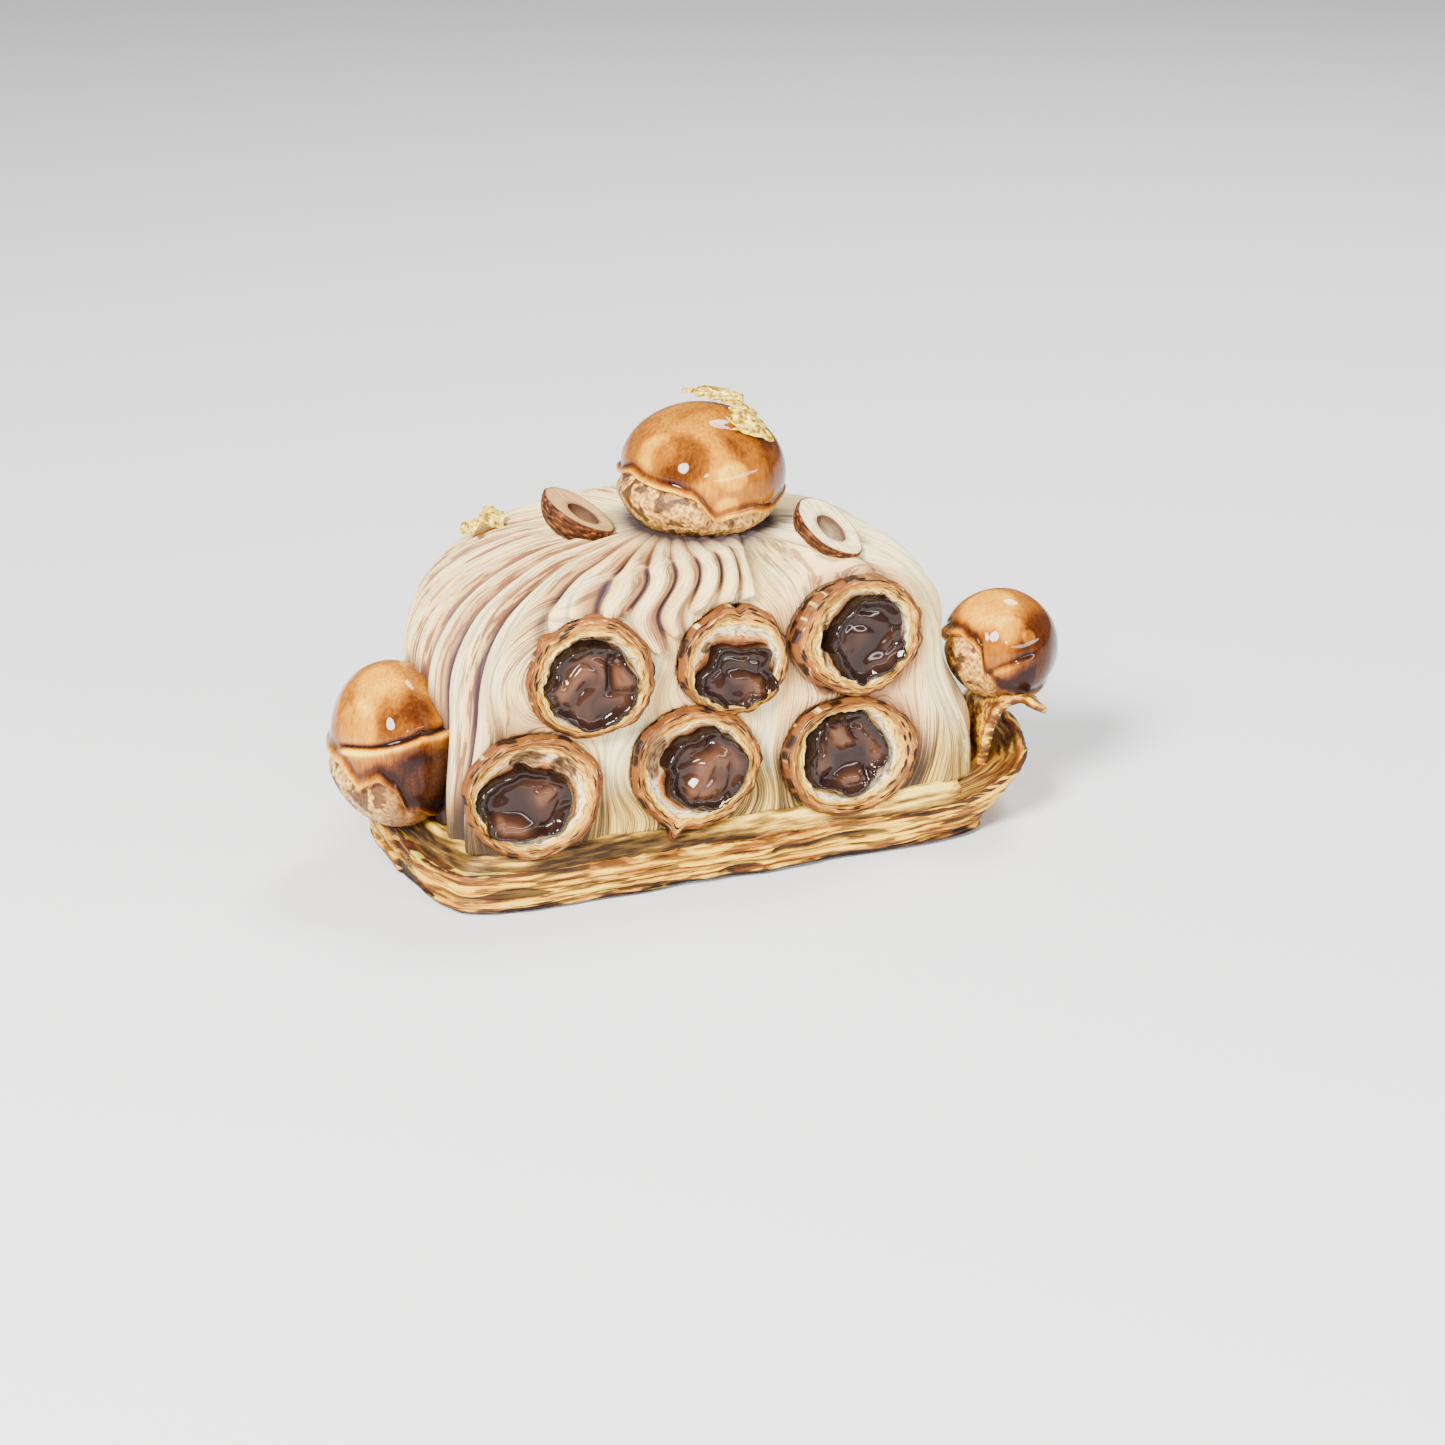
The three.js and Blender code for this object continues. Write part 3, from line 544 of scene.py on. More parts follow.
def pastry_material():
    s = Surface("puff_pastry", 0.5, shine=0.2)
    streaks = s.noise(0.8, grain=True)
    colour = s.ramp(s.value("tone"), (0.0, 255, 212, 62), (0.26, 232, 166, 34), (0.50, 168, 102, 26),
                    (0.74, 98, 52, 18), (1.0, 50, 26, 12))
    colour = s.tint(colour, s.step(0.51, 0.58, streaks), (78, 40, 16), 0.85)
    colour = s.tint(colour, s.step(0.44, 0.36, streaks), (255, 222, 70), 0.6)
    # near black: on the pastry painted shade in the gaps between layers and underneath, on the curled flake
    # its brown spots
    colour = s.tint(colour, s.value("gap"), (28, 14, 14))
    return s.finish(colour, bump=streaks, height=0.6)


def creme_material():
    s = Surface("creme_patissiere", 0.42, shine=0.14)
    streaks = s.noise(0.8, grain=True)
    colour = s.ramp(s.plus(s.value("tone"), s.swing(streaks, 1.6)),
                    (0.0, 255, 222, 96), (0.3, 186, 142, 50), (0.6, 104, 74, 32), (1.0, 44, 30, 16))
    return s.finish(colour, bump=streaks, height=0.8)


def crust_material():
    s = Surface("choux_crust", 0.5, shine=0.2)
    strokes, patches = s.noise(0.5, grain=True), s.noise(1.6, detail=2.0, grain=True)
    specks, crusty = s.cells(0.85, grain=True), s.value("crusty")
    # the last two stops darken the slope down to the praline: painted shade in the hollow round it
    colour = s.ramp(s.value("ring"), (0.0, 92, 48, 18), (0.10, 136, 80, 26), (0.28, 184, 120, 38),
                    (0.44, 210, 148, 46), (0.58, 236, 184, 66), (0.74, 250, 208, 100),
                    (0.84, 255, 246, 206), (0.90, 214, 150, 78), (0.96, 96, 48, 28))
    colour = s.tint(colour, s.step(0.50, 0.62, strokes), (120, 68, 24), 0.75)
    colour = s.tint(colour, s.times(s.step(0.40, 0.32, strokes), crusty), (255, 224, 130), 0.7)
    colour = s.tint(colour, s.times(s.step(0.50, 0.62, patches), crusty), (92, 46, 18), 0.75)
    colour = s.tint(colour, s.step(0.42, 0.30, specks), (34, 16, 10), crusty)
    # painted shade in the air holes of the crumb
    hole = s.ramp(strokes, (0.4, 170, 132, 84), (0.6, 88, 60, 42))
    colour = s.mix(s.value("pocket_shade"), colour, hole)
    return s.finish(colour, bump=strokes, height=0.5)


def praline_material():
    s = Surface("praline", 0.10, shine=0.28)
    # dark to light with tone: painted shade in the creases and toward the edge
    return s.finish(s.ramp(s.value("tone"), (0.0, 16, 8, 7), (0.35, 36, 20, 15), (0.7, 62, 36, 24),
                           (1.0, 92, 58, 38)))


def skin_material():
    s = Surface("choux_skin", 0.5, shine=0.25)
    mottle, fine = s.noise(4.0, detail=2.0, warp=0.4), s.noise(1.0)
    colour = s.ramp(fine, (0.36, 238, 196, 104), (0.5, 200, 144, 66), (0.62, 150, 96, 44))
    colour = s.tint(colour, s.step(0.50, 0.58, mottle), (66, 36, 20), 0.9)
    colour = s.tint(colour, s.value("baked"), (122, 72, 34))
    return s.finish(colour, bump=fine, height=0.4)


def caramel_material(name, dark):
    """Clear brown sugar over a baked bun, deeper where it is thick. dark shifts all of it to brown."""
    smooth = 0.05
    s = Surface(name, smooth)
    s.set({"IOR": 1.28})
    cloud, threads = s.noise(8.0, detail=1.0, warp=0.5), s.noise(0.7, detail=2.0, grain=True)
    crackle = s.value("crackle")
    depth = s.plus(s.plus(s.value("tone"), s.swing(cloud, 0.4)), s.swing(threads, 0.35))
    colour = s.ramp(s.plus(depth, dark), (0.0, 255, 214, 70), (0.28, 216, 144, 14), (0.52, 150, 86, 12),
                    (0.78, 84, 40, 12), (1.0, 36, 14, 8))
    cracks = s.step(0.10, 0.03, s.cells(2.2, "DISTANCE_TO_EDGE", stretch=(1.0, 1.0, 2.2)))
    colour = s.tint(colour, s.times(cracks, crackle), (34, 16, 10), 0.6)
    return s.finish(colour, s.plus(smooth, s.times(crackle, 0.2)))


def nut_material(name, meat, cavity):
    s = Surface(name, 0.6, shine=0.12)
    grain = s.noise(0.8, grain=True)
    skin = s.ramp(grain, (0.38, 40, 20, 12), (0.54, 88, 48, 24), (0.70, 150, 92, 44))
    cut = s.tint(srgb(*meat), s.step(0.45, 0.65, grain), (150, 104, 58), 0.45)
    cut = s.tint(cut, s.value("cavity"), cavity)
    return s.finish(s.mix(s.value("meat"), skin, cut), bump=grain, height=0.25)


def leaf_material():
    s = Surface("gold_leaf", 0.3)
    s.set({"Metallic": 0.3})
    crumple = s.noise(1.4, rough=0.6)
    # the colour follows the crumple of the bump: painted shade in its hollows and painted highlight on its
    # ridges
    colour = s.ramp(crumple, (0.38, 120, 82, 10), (0.47, 224, 178, 26), (0.58, 255, 232, 96))
    return s.finish(colour, bump=crumple, height=0.5)


# Puff pastry
def pastry_flare(azimuth):
    """1 in the middle of the wall that flares up at the right end, 0 away from it."""
    middle = math.radians((CURL["start"] + CURL["end"]) / 2)
    away = np.arctan2(np.sin(azimuth - middle), np.cos(azimuth - middle))
    return np.exp(-(away / math.radians(PASTRY["flare_width"])) ** 4)


def pastry_radius(azimuth):
    round_edge = PASTRY["radius"] + 0.9 * ripple(azimuth, 5, 0.7) - PASTRY["tuck"] * pastry_flare(azimuth)
    front = PASTRY["cut"] / np.maximum(-np.sin(azimuth), 1e-3) + 0.5 * ripple(azimuth, 9, 2.0)
    return np.where(np.sin(azimuth) < 0, smooth_min(round_edge, front, PASTRY["corner"]), round_edge)


def pastry_side(azimuth, share):
    """How far the flaky side stands out, its tone, and the gaps between layers, painted dark as shade.
    share is 0 to 1 up.
    """
    x, y = on_circle(pastry_radius(azimuth), azimuth)
    waver = 1.1 * noise(x / 30, y / 30, share * 1.2, seed=3) + 0.16 * noise(x / 7, y / 7, share * 3, seed=4)
    level = share * PASTRY["layers"] + waver
    layer = np.floor(level)
    inside = level - layer
    body = np.sin(math.pi * inside) ** 0.6
    parted = smooth_step(-0.1, 0.5, noise(x / 9, y / 9, layer * 3.7, seed=7))
    seam = smooth_step(0.40 + 0.35 * parted, 0.0, body) * (0.6 + 0.4 * parted)
    lens = smooth_step(0.0, 0.2, noise(x / 11, y / 11, layer * 4.9, seed=10) - 0.1 - 0.5 * (1 - body))
    # the seams and lens holes are pressed in and painted dark: painted shade in the gaps
    gap = np.maximum(seam, 0.9 * lens)
    stands = 0.7 * noise(x / 26, y / 26, layer * 7.3, seed=5)
    stands = stands + 0.5 * noise(x / 11, y / 11, level * 1.5, seed=6)
    tone = 0.36 + 0.36 * noise(x / 28, y / 28, layer * 9.1, seed=8)
    tone = tone + 0.38 * noise(x / 13, y / 13, level * 1.7, seed=9) + 0.25 * (0.5 - inside)
    return 0.8 * stands + 0.6 * body - 1.2 * gap, tone, gap


def pastry_top(rings, azimuth, reach, z, near_ledge):
    """Adds the rings inwards from the rim, whose reach and height are given."""
    x, y = on_circle(reach, azimuth)
    for drawn, drop, pale in PASTRY_TOP:
        rough = 0.3 * noise(x / 2.5, y / 2.5, drawn, seed=14)
        # the rings inwards under the creme are darkened: painted shade where pastry meets creme
        rings.add(around(reach - drawn, azimuth, z - drop + rough), way=z + drawn,
                  tone=pale + 0.4 * rough + 0.2 * near_ledge, gap=0.6 * smooth_step(1.2, 2.2, drawn))


def puff_pastry(material):
    azimuth = even_turns(pastry_radius, 960)
    share = np.linspace(0, 1, 54)[:, None]
    out, tone, gap = pastry_side(azimuth, share)
    flare = pastry_flare(azimuth)
    lift = flare * smooth_step(2 / PASTRY["thick"], 1, share)
    rim = smooth_step(0.86, 1, share)
    under = smooth_step(0.16, 0, share)
    near_ledge = hill(np.mod(azimuth, 2 * math.pi), PASTRY["ledge_at"], 0.5)
    reach = pastry_radius(azimuth) + out * (1 - under) * (1 - 0.5 * rim) - 2.6 * under ** 2 - 0.9 * rim ** 2
    reach = reach + PASTRY["flare"] * lift
    x, y = on_circle(reach, azimuth)
    wave = 0.5 * noise(x / 8, y / 8, share * 3, seed=12) * smooth_step(0, 0.2, share)
    ledge = PASTRY["ledge"] * near_ledge * smooth_step(0.45, 1, share)
    z = share * PASTRY["thick"] + wave + ledge + PASTRY["flare_rise"] * lift
    ragged = smooth_step(0.24, 0.14, share - 0.12 * ring_noise(azimuth, 24, 0.0, 11))
    # the ragged lower edge and the underside are darkened: painted shade under the pastry
    tone = np.maximum(tone, 0.1) + 0.42 * rim + 0.4 * ragged + 0.15 * flare + 0.3 * near_ledge * share
    gap = np.clip(gap + 0.6 * under + 0.6 * ragged, 0, 1)
    rings = Rings()
    rings.add(around(reach[:1] - PASTRY["tucked_under"], azimuth, 0.0), tone=tone[:1], gap=gap[:1], way=0.0)
    rings.add(around(reach, azimuth, z), tone=tone, gap=gap, way=z)
    pastry_top(rings, azimuth, reach[-1:], z[-1:], near_ledge)
    form, values = rings.closed([0, 0, 0], [0, 0, PASTRY["floor"]])
    values["grain"] = np.column_stack([0.08 * form[0][:, :2], values.pop("way")])
    add_piece("flaky_pastry", form, values, material, "puff_pastry")


def flake_face(u, v, side):
    """What colours one face of the curled flake. Its cut edge is torn, its back is spotted."""
    lip = smooth_step(-0.93, -0.99, v)
    leaves = noise(u * 7, v * 3, side, seed=24)
    tone = 0.56 + 0.26 * leaves - 0.12 * (side > 0) + 0.10 * (side < 0)
    torn = (0.36 if side > 0 else 0.80) + 0.16 * leaves
    spots = smooth_step(0.25, 0.45, noise(u * 9, v * 9, side, seed=25)) * (side < 0)
    return np.clip(tone * (1 - lip) + torn * lip, 0, 1).ravel(), 0.6 * spots.ravel()


def curled_flake(material):
    """The thin end of the pastry on the right, which curls up and out: a C, seen from its cut end."""
    u, v = unit_grid(90, 60)
    root, foot = CURL["spine"][0]
    middle = catmull_rom(CURL["spine"], (u + 1) / 2)
    share = (v + 1) / 2
    waver = 1.2 * noise(u * 4, 0, seed=21) * (1 - share)
    azimuth = np.radians(CURL["start"] + (CURL["end"] - CURL["start"]) * share + waver)
    rough = 0.35 * noise(u * 5, v * 4, seed=22)
    reach = root + (middle[..., 0] - root) * (1 - CURL["narrower"] * share) + rough
    z = foot + (middle[..., 1] - foot) * (1 - CURL["lower"] * share ** 2) + 0.5 * rough
    rounded = np.sqrt(np.clip(smooth_step(1.06, 0.94, np.maximum(np.abs(u), np.abs(v))), 0.1, 1))
    uneven = 1 + 0.15 * noise(u * 12, v * 8, seed=23)
    thick = 1.6 * CURL["thick"] * (0.62 - 0.1 * (u + 1)) * rounded * uneven
    form = sheet(around(reach, azimuth, z), thick)
    tone, gap = (np.concatenate(both) for both in zip(flake_face(u, v, 1), flake_face(u, v, -1)))
    values = dict(tone=tone, gap=gap, grain=form[0] * [0.3, 0.3, 0.6])
    add_piece("curled_flake", form, values, material)


# Creme patissiere
def creme_layer(material):
    azimuth = even_turns(pastry_radius, 720)
    share = np.linspace(0, 1, 36)[:, None]
    bulge = 0.5 * np.sin(math.pi * share ** 0.8)
    reach = pastry_radius(azimuth) - CREME["inset"] - CREME["slope"] * share ** 1.3 + bulge
    x, y = on_circle(reach, azimuth)
    folds = layered(x / 22, y / 22, share * 2.6, seed=31)
    fine = noise(x / 9, y / 9, share * 5, seed=33)
    reach = reach + (0.9 * folds + 0.35 * fine) * smooth_step(0, 0.25, share)
    z = CREME["bottom"] + (CREME["top"] - CREME["bottom"]) * share
    z = z + 0.5 * noise(x / 11, y / 11, 3, seed=35) * share
    duller = 0.18 - 0.30 * smooth_step(-8, 14, x)
    rings = Rings()
    tone = 0.46 + 0.5 * folds + 0.3 * fine + 0.35 * (1 - share) ** 3 + duller
    rings.add(around(reach, azimuth, z), tone=tone)
    for drawn, drop in CREME_TOP:
        x, y = on_circle(reach[-1:] - drawn, azimuth)
        swirl = 0.5 * noise(x / 16, y / 16, drawn / 1.3, seed=36)
        rings.add(np.stack([x, y, z[-1:] - drop + swirl], -1), tone=0.42 + 0.8 * swirl + duller[-1:])
    form, values = rings.closed([0, 0, CREME["bottom"]], [0, 0, CREME["top"] - 2])
    values = dict(tone=np.clip(values["tone"], 0, 1), grain=form[0] * [0.11, 0.11, 1.1])
    add_piece("pastry_cream", form, values, material, "creme_patissiere")


# Whipped cream
def dome_section(azimuth, along):
    """Distance from the axis, height, and how far the surface faces out and up. along is 0 to 1 down."""
    quarter = np.minimum(along / DOME["shoulder"], 1) * math.pi / 2
    below = np.maximum(along - DOME["shoulder"], 0) / (1 - DOME["shoulder"])
    bend = 2 / DOME["power"]
    degrees = np.mod(np.degrees(azimuth), 360)
    dent = DENT["depth"] * hill(degrees, DENT["at"], DENT["width"])
    nipped = hill(along, 0.72, 0.08) + smooth_step(0.85, 0.97, along)
    nip = DOME["nip"] * hill(degrees, DOME["nip_at"], DOME["nip_width"]) * nipped
    out, up = np.sin(quarter), np.maximum(np.cos(quarter), 0)
    reach = DOME["radius"] * out ** bend + (DOME["flare"] - dent) * smooth_step(0, 0.8, below) - nip
    rise, fall = DOME["top"] - DOME["waist"], DOME["waist"] - DOME["bottom"]
    return reach, DOME["waist"] + rise * up ** bend - fall * below, out, up


def face_distance(azimuth, z):
    """How far the cut is from the axis, with the smooth scoop in its upper edge."""
    facing = -np.sin(azimuth)
    straight = (FACE["foot"] - FACE["lean"] * (z - DOME["bottom"])) / np.maximum(facing, 1e-4)
    x = DOME["x"] + straight * np.cos(azimuth)
    scoop = hill(x, FACE["scoop_x"], FACE["scoop_width"]) * smooth_step(60, 76, z)
    return np.where(facing > 0, straight * (1 - FACE["scoop_depth"] * scoop), 1e6)


def cream_outline(azimuth):
    return np.minimum(dome_section(azimuth, 0.7)[0], face_distance(azimuth, 40.0))


def even_alongs(count):
    """Steps down the dome that are evenly spaced on its surface, in one column."""
    along = np.linspace(0, 1, 4001)
    reach, z, _, _ = dome_section(math.pi / 2, along)
    return even_steps(along, reach, z, np.linspace(0.004, 1, count))[:, None]


def flow_round_choux(x, z):
    """Lines that run down the cut and part round each halved choux: across and along them."""
    across, along = x.copy(), z.copy()
    for choux in HALVED_CHOUX.values():
        cx, _, cz = choux["at"]
        size = 0.9 * choux["wide"] * choux["high"]
        far = np.maximum((x - cx) ** 2 + (z - cz) ** 2, 0.5 * size)
        across = across - size * (x - cx) / far
        along = along + size * (z - cz) / far
    return across, along


def shell_turn(choux):
    turn = Matrix.Rotation(math.pi / 2 - SHELL["lean"], 3, "X") @ Matrix.Rotation(choux["turn"], 3, "Y")
    return np.array(turn)


def clear_of_shells(points):
    """The cream's points, pushed back behind the halved choux that sit in it, and how near each rim is."""
    near = np.zeros(points.shape[:-1])
    for seed, choux in enumerate(HALVED_CHOUX.values()):
        turn = shell_turn(choux)
        local = (points - choux["at"]) @ turn
        across, up, level = np.moveaxis(local / [choux["wide"], choux["high"], 1.0], -1, 0)
        edge = 1 + SHELL["rough"] * ripple(np.arctan2(up, across), 3, seed)
        share = np.hypot(across, up) / edge
        ball = np.sqrt(np.clip(1 - (share * 1.02) ** 2, 0, 1))
        depth = -(SHELL["depth"] + SHELL["clear"]) * ball - SHELL["clear"]
        inside = (share < 0.98) & (level > depth) & (level < 20)
        local[..., 2] = np.where(inside, depth, level)
        points = local @ turn.T + choux["at"]
        outside = np.maximum((share - 1) * choux["wide"], 0)
        near = np.maximum(near, np.where(np.abs(level) < 12, np.exp(-outside / 3.0), 0))
    return points, near


def tip_height(x):
    """How far down the ribs hang over the cut, from left to right."""
    outer = (TIPS["height"] - TIPS["outer"]) * smooth_step(TIPS["left"] + 8, TIPS["left"], x)
    return TIPS["height"] - outer - (TIPS["height"] - TIPS["lowest"]) * hill(x, TIPS["lowest_at"], 6)


def add_ribs(c):
    """Adds to the cream's values where its ribs are and how far they stand out, as depth."""
    c.middle = plateau(c.x, -34, -22, 6, 14) * smooth_step(0, 4, -c.y)
    sway = TIPS["sway"] * c.middle * np.sin((c.z - DOME["top"]) / TIPS["sway_length"] * 2 * math.pi)
    turn = c.azimuth - RIBS["spread"] * np.cos(c.azimuth)
    uneven = 0.05 * noise(c.x / 12, c.y / 12, c.z / 12, seed=41)
    c.count = RIBS["count"] * turn / 2 + math.pi * (sway + uneven)
    c.rib = np.sqrt(np.sin(c.count) ** 2 + 0.004)
    c.half_rib = np.sqrt(np.sin(2 * c.count) ** 2 + 0.01)
    above_tips = c.z - tip_height(c.x)
    fading = 14 * smooth_step(-25, -31, c.x)
    left_ends = plateau(c.x, TIPS["left"] - 6, TIPS["left"], TIPS["right"], TIPS["right"] + 4)
    left_ends = left_ends * smooth_step(-2 - fading, 1.0, above_tips - 5 * (1 - c.rib) ** 2)
    above_slope = c.z - 66 + 0.32 * (c.x - 32)
    right_ends = 0.8 * smooth_step(30, 37, c.x) * smooth_step(-3, 2, above_slope - 4 * (1 - c.rib) ** 2)
    hanging = c.on_face * np.maximum(left_ends, right_ends)
    drop = hanging * smooth_step(8, 2, above_tips) * left_ends
    outside = smooth_step(6, 34, c.radius) * (1 - c.on_face)
    c.ribbed = np.maximum(outside, hanging)
    c.halved = plateau(c.x, -62, -54, -36, -28) * c.ribbed
    c.depth = RIBS["depth"] * outside * (c.rib - 0.6) + (TIPS["proud"] * c.rib + 0.8 * drop) * hanging
    c.depth = c.depth + RIBS["halved"] * c.halved * (c.half_rib - 0.6)


def add_strands(c):
    """Adds the way the cream was drawn, as coordinates along its strands, and the relief of the strands."""
    across, down = flow_round_choux(c.x, c.z)
    way_round = 2 * c.count / RIBS["count"] + (across - c.x) * c.on_face / STRANDS["ring"]
    way_down = c.along * STRANDS["down"] + (down - c.z) * c.on_face
    c.grain = around(STRANDS["ring"], way_round, STRANDS["stretch"] * way_down)
    c.brush = noise_at(c.grain, 1.5, 43)
    c.sweep = noise_at(c.grain, (4.5, 4.5, 2.0), 44)
    c.depth = c.depth + 0.12 * c.brush + 0.28 * c.sweep


def painted_shade_of_cream(c, points):
    """Painted shade in the grooves between ribs, round the choux, under the whole ones, and along the fold
    at the right.
    """
    painted_shade = np.maximum(smooth_step(0.45, 0.15, c.rib) * c.ribbed,
                        0.5 * smooth_step(0.4, 0.12, c.half_rib) * c.halved)
    # painted shade on the cut round the halved choux
    dark = np.maximum(0.95 * painted_shade, 0.35 * c.on_face * c.near ** 3 * smooth_step(16, 26, c.z))
    # painted shade under each whole choux, fading out over the cream
    for choux in WHOLE_CHOUX.values():
        size = np.array(choux["half"]) + COAT["gap"] + COAT["thick"]
        away = np.linalg.norm((points - choux["at"]) / size, axis=-1)
        reach, strength = choux["shade"]
        dark = np.maximum(dark, strength * smooth_step(reach, 0.95, away))
    # painted shade along a fold of the cream at the right
    fold = 0.5 * hill(c.x, 60.5, 1.0) * plateau(c.z, 19, 23, 36, 40) * (c.y < -14)
    return np.maximum(dark, fold)


def foot_of_cream(c):
    """Where the cream is stained at its foot: higher at the left end of the cut than along it."""
    left_end = smooth_step(-34, -50, c.x)
    front_top = 31 + 6 * smooth_step(40, 58, c.x) + 24 * left_end
    front = smooth_step(front_top, 20 + 4 * left_end, c.z + 5 * c.brush)
    beside_cut = smooth_step(-30, -50, c.x) * (c.y < 0)
    beside = smooth_step(24 + 8 * beside_cut, 15, c.z + 3 * c.brush)
    return np.where(c.on_face > 0.3, front, beside)


def cream_values(c, points):
    """The values that colour the cream."""
    # side marks the half of each rib away from the key lamp, where tone and strokes paint shade
    side = smooth_step(0.48, 0.80, np.mod(c.count / math.pi, 1))
    flat = (1 - c.ribbed) * c.on_face
    right = smooth_step(8, 20, c.x)
    low = smooth_step(56, 34, c.z)
    foot = foot_of_cream(c)
    # painted shade on the far side of each rib and toward its grooves; middle and sweep are the cream's own
    # tone
    tone = 0.05 + c.ribbed * (0.30 * side + 0.30 * (0.8 - c.rib) + 0.22 * c.middle) + 0.16 * c.sweep
    tone = tone + flat * (0.03 + 0.22 * noise_at(c.grain, (9.0, 9.0, 3.0), 45))
    # painted shade on the cut round the halved choux, wider at the right
    tone = tone + c.on_face * (0.1 * c.near + 0.4 * right * c.near ** 0.6)
    tone = tone + 0.5 * c.on_face * smooth_step(-24, -46, c.x) * low
    tone = tone + 0.6 * foot * smooth_step(-34, -50, c.x)
    busy = np.maximum(right, smooth_step(-20, -48, c.x) * low)
    # strokes everywhere, denser on the shaded side of the ribs and round the choux, where they are painted
    # shade
    brush = 0.30 + 0.70 * side * c.ribbed + 0.4 * flat * busy + 0.6 * c.near ** 2 * c.on_face
    ochre = 0.8 * hill(c.x, 14, 5) * hill(c.z, 72, 6) * c.on_face
    return dict(
        tone=np.clip(with_poles(tone), 0, 1),
        # painted shade in the grooves, round and under the choux and along the fold
        painted_shade=np.clip(with_poles(painted_shade_of_cream(c, points)), 0, 0.96),
        stain=np.clip(with_poles(np.maximum(foot, ochre)), 0, 1),
        brush=np.clip(with_poles(brush), 0, 1),
        grain=with_poles(c.grain),
    )


def whipped_cream(material):
    """The ribbed dome with its flat cut. c holds what is known at each point of its grid."""
    c = SimpleNamespace(azimuth=even_turns(cream_outline, 1080), along=even_alongs(260))
    reach, z, out, up = dome_section(c.azimuth, c.along)
    c.z = z + 0 * c.azimuth
    c.radius = np.minimum(reach, smooth_min(reach, face_distance(c.azimuth, c.z), FACE["corner"]))
    c.on_face = smooth_step(0, 5, reach - c.radius)
    c.x, c.y = DOME["x"] + c.radius * np.cos(c.azimuth), c.radius * np.sin(c.azimuth)
    add_ribs(c)
    add_strands(c)
    push = c.radius + c.depth * np.where(c.on_face > 0.5, 1.0, out)
    points = around(push, c.azimuth, c.z + c.depth * up * (1 - c.on_face)) + [DOME["x"], 0, 0]
    points[..., 1] -= FACE["foot_out"] * c.on_face * np.exp(-(c.z - DOME["bottom"]) / FACE["foot_fade"])
    points, c.near = clear_of_shells(points)
    points[..., 1] -= FACE["round_choux"] * c.on_face * c.near * (c.near < 0.98)
    form = lofted(points, [DOME["x"], 0, DOME["top"]], [DOME["x"], 0, DOME["bottom"]])
    add_piece("ribbed_cream", form, cream_values(c, points), material, "whipped_cream")


# Halved choux and their praline
def rim_outline(choux, seed, angle):
    """The outline of the crust, as a share of its half sizes."""
    edge = 1 + SHELL["rough"] * ripple(angle, 3, seed)
    edge = edge + 0.024 * ring_noise(angle, 4, seed * 3.0, 51)
    edge = edge + 0.012 * ring_noise(angle, 10, seed * 3.0, 52)
    for at, height, width in choux["bumps"]:
        edge = edge + height * hill(wrapped(np.degrees(angle) - at), 0, width)
    return edge


def hollow_outline(choux, seed, angle):
    """The ragged edge where the crumb ends, in millimetres from the middle of the rim."""
    x, y, wide, high = choux["hollow"]
    ragged = 1 + 0.04 * ripple(angle, 4, 2 + seed) + 0.035 * ring_noise(angle, 6, seed * 5.0, 53)
    ragged = ragged + 0.02 * ring_noise(angle, 14, seed * 5.0, 59)
    return oval(angle, wide * ragged, high * ragged, (x, y))


def fill_outline(choux, seed, angle):
    """The outline of the praline, in millimetres from the middle of the rim."""
    x, y, wide, high = choux["fill"]
    ragged = 1 + 0.05 * ripple(angle, 4, 5 + seed) + choux["star"] * np.cos(5 * angle - math.pi / 2 + seed)
    ragged = ragged + 0.05 * ring_noise(angle, 3, seed * 4.0, 61)
    ragged = ragged + 0.02 * ring_noise(angle, 6, seed * 4.0, 62)
    ragged = 1.06 * ragged
    return oval(angle, wide * ragged, high * ragged, (x, y))


def in_place(choux, points):
    """Points in a halved choux's own space, whose z stands out of its rim, moved to where it sits."""
    return points @ shell_turn(choux).T + choux["at"]


def crust_rings(rings, outer, angle):
    """The outside of the half ball, from its back to the front of its rounded rim."""
    for theta in np.radians(np.linspace(6, 82, 16)):
        bumps = 0.3 * ring_noise(angle, 4, theta * 6, 54)[..., None]
        flat = outer * np.sin(theta) * (1 + bumps / 14)
        rings.add(raised(flat, -SHELL["depth"] * np.cos(theta)), ring=0.0, crusty=1.0, deep=-3.0)
    for size, height in ((1.005, -1.1), (1.022, -0.45), (1.024, 0.2), (1.012, 0.8), (0.99, 1.25)):
        knob = 0.25 * ring_noise(angle, 8, size * 9, 55)
        flat = outer * (size + knob[..., None] / 30)
        rings.add(raised(flat, height + knob), ring=0.05, crusty=1.0, deep=-1.0)


